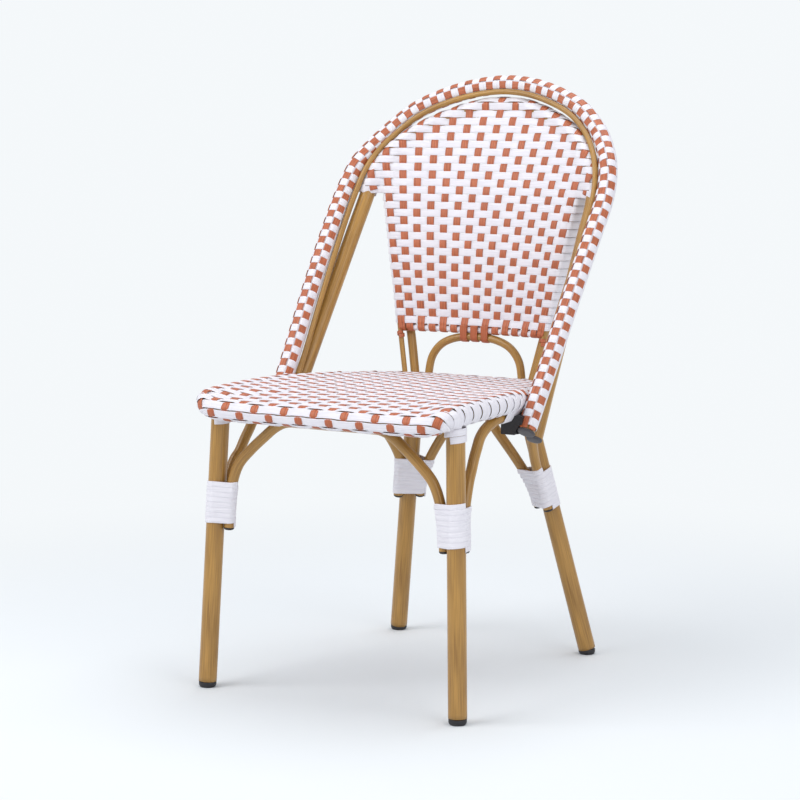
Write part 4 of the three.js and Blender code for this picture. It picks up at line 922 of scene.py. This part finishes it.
def back_sheet(flat, rim, e):
    """Inside the arch: the back surface, drawn forward over the side rods, the bottom rail and the arch."""
    x, z = flat.T
    rod_x, rod_y = rod_at(z)
    y = back_at(x, z) - FRONT_LIFT * smoothstep((PANEL_FOOT + 22 - z) / 22)
    y += (rod_y - FRONT_LIFT - y) * smoothstep((np.abs(x) - rod_x + 30) / 30)
    return np.stack([x, y + (rim[:, 1] - y) * smoothstep(1 + e / 26), z], -1)


def back_line(flat):
    """Places and directions along a flat (x, z) line on the panel and over its arch."""
    return sloped_line(flat, arch_edge, ARCH_ROLL, back_sheet)


def bottom_tail(x):
    """Under the bottom rail: from its front round below and up behind the sheet."""
    turn = np.linspace(0, np.pi, 26)[1:]
    out = np.stack([np.zeros(25), -np.cos(turn), -np.sin(turn)], -1)
    centre = np.array([x, back_at(x, PANEL_FOOT), PANEL_FOOT])
    rise = np.linspace(2, 20, 8)
    up = np.stack([np.full(8, x), back_at(x, PANEL_FOOT + rise) + FRONT_LIFT - 2.6 * rise / 20,
                   PANEL_FOOT + rise], -1)
    return np.vstack([centre + FRONT_LIFT * out, up]), np.vstack([out, np.tile([0.0, 1, 0], (8, 1))])


DRAWN_IN = [0, 0, 0, 0, 0, 0, 1.5, 3.5, 4, 4]


def warp_at(i, z):
    """Where terracotta strand i crosses height z: evenly pitched, the outer ones drawn in, the last one
    clear of the side rods as far up as these go."""
    up = np.clip((z - PANEL_FOOT) / PANEL_SPAN, 0, 1)
    x = abs(i) * pitch_at(z) - DRAWN_IN[abs(i)] * np.sin(np.pi * up)
    if abs(i) == 7:
        x = np.minimum(x, rod_at(z)[0] - 6.3 + 40 * smoothstep((z - BACK_TOP) / 40))
    return np.sign(i) * x


def crossing_at(x, z):
    """How many terracotta strands from the middle a white one has come at x: whole at each strand."""
    return np.sign(x) * np.interp(np.abs(x), [warp_at(i, z) for i in range(10)], range(10))


back_warps = []
for i in range(-8, 9):
    outer = abs(i) == 8
    z = np.arange(BACK_TOP + 2 if outer else float(PANEL_FOOT), 960, 1.9)
    places, normals, e = back_line(np.stack([warp_at(i, z), z], -1))
    last = np.flatnonzero(e < TOP_TUCK)[-1] + 1
    places, normals, height = places[:last], normals[:last], z[:last]
    if not outer:
        tail, out = bottom_tail(places[0][0])
        fall = lengths(np.vstack([places[:1], tail]))[1:]
        places, normals = np.vstack([tail[::-1], places]), np.vstack([out[::-1], normals])
        height = np.concatenate([PANEL_FOOT - fall[::-1], height])
    offset = SWING * wave(np.pi * ((height - BACK_FIRST) / BACK_ROW + i)) * smoothstep((height - 526) / 6)
    back_warps.append(strand(places, normals, offset, 12.2))


def side_wrap(z):
    """Round the rod and the post behind it: the outline that closes round both, from straight ahead outward
    to the back, then a short way inward behind the sheet."""
    x, y = rod_at(z)
    behind = np.interp(z, post[:, 2], post[:, 0]), np.interp(z, post[:, 2], post[:, 1])
    turn = np.linspace(-np.pi / 2, np.pi * 0.62, 46)
    circles = [((x, y), ROD + 1.15), (behind, POST + 1.15)]
    round_two = hull_reach(circles, turn)
    out = np.stack([np.cos(turn), np.sin(turn)], -1)
    end = round_two[-1]
    inward = np.stack([np.linspace(end[0] - 2, end[0] - 16, 8), np.linspace(end[1] - 0.6, y + 6, 8)], -1)
    flat = np.vstack([round_two, inward])
    return flat, np.vstack([out, np.tile(out[-1], (8, 1))])


WHITE_LIFT, WHITE_WIDTH, EDGE_FLATNESS = 0.15, 12.0, 2.6
back_wefts = []
for j in range(1, 33):
    z = BACK_FIRST + j * BACK_ROW
    if z < BACK_TOP:
        rod_x = rod_at(z)[0]
        x = np.linspace(-rod_x, rod_x, int(rod_x))
        places, normals, _ = back_line(np.stack([x, np.full(len(x), z)], -1))
        flat, out = side_wrap(z)
        count = len(flat)
        right = np.column_stack([flat, np.full(count, z)])
        right_out = np.column_stack([out, -out[:, 1] * back_slope(z)])
        places = np.vstack([mirror(right)[::-1], places[1:-1], right])
        normals = unit(np.vstack([mirror(right_out)[::-1], normals[1:-1], right_out]))
        crossing = crossing_at(np.concatenate([np.full(count, -rod_x), x[1:-1], np.full(count, rod_x)]), z)
        swing = SWING * (1 - smoothstep((np.abs(crossing) - 7.1) / 0.18))
        swing[:count] = swing[-count:] = 0
    else:
        x = np.arange(-290, 290.1, 2.0)
        places, normals, e = back_line(np.stack([x, np.full(len(x), z)], -1))
        keep = np.flatnonzero(e < TOP_TUCK)
        kept = slice(keep[0], keep[-1] + 1)
        places, normals, crossing, swing = places[kept], normals[kept], crossing_at(x[kept], z), SWING
    offset = WHITE_LIFT - swing * wave(np.pi * (crossing + j), EDGE_FLATNESS)
    back_wefts.append(strand(places, normals, offset, WHITE_WIDTH))
build("back_warp_strands", back_warps, terracotta, "terracotta_strand")
build("back_weft_strands", back_wefts, white, "white_strand", "back_panel_weave")

# ---- Lumbar ties: three terracotta strands that hang from the panel's middle, pass round the arch's crown
# below and go back up behind ----
TIE_PITCH, TIE_LIFT = 19.3, 7.4
for count, across in enumerate([-TIE_PITCH, 0.0, TIE_PITCH]):
    top = arch[np.argmin(np.abs(arch[:, 0] - across))]
    turn = np.linspace(0, np.pi, 24)
    front_depth = back_at(across, PANEL_FOOT) - TIE_LIFT
    front = np.stack([np.full(8, across), np.full(8, front_depth), np.linspace(533, 519, 8)], -1)
    round_out = np.stack([np.zeros(24), -np.cos(turn), -np.sin(turn)], -1)
    below = (across, top[1], top[2]) + (TIE_LIFT + 0.2) * round_out
    places = np.vstack([front, below, front[::-1] + (0, 2 * TIE_LIFT, 0)])
    out = np.vstack([np.tile([0.0, -1, 0], (8, 1)), round_out, np.tile([0.0, 1, 0], (8, 1))])
    tie = strand(places, out, np.zeros(len(places)), 12.4, 1.1)
    build(f"lumbar_tie_strap_{count + 1}", [tie], terracotta, "terracotta_strand", f"lumbar_tie_{count + 1}")

# ---- Corner wraps: a terracotta strand wound twice round each side rod, just under the panel's corner,
# where it locks the lowest strands ----
WRAP_SPAN = (506, 521)
for word, side in SIDES:
    corner = rod[(rod[:, 2] > WRAP_SPAN[0]) & (rod[:, 2] < WRAP_SPAN[1])] * (side, 1, 1)
    wrap = wound(resampled(corner, 20), np.array([0.0, -1, 0]), lambda *plane: [((0, 0), ROD + 1)], 6.6, 6.2)
    build(f"corner_wrap_{word}", [wrap], terracotta, "terracotta_strand")

# ---- Hoop brackets: moulded black blocks that clamp the hoops' low ends to the seat ring. Steel screws hold
# each to its two hoops and, from below, to the side brace ----
for word, side in SIDES:
    paint([f"hoop_bracket_{word}"], black)
    paint([f"{name}_{word}" for name in ("outer_hoop_screw", "inner_hoop_screw", "side_brace_screw")], steel)
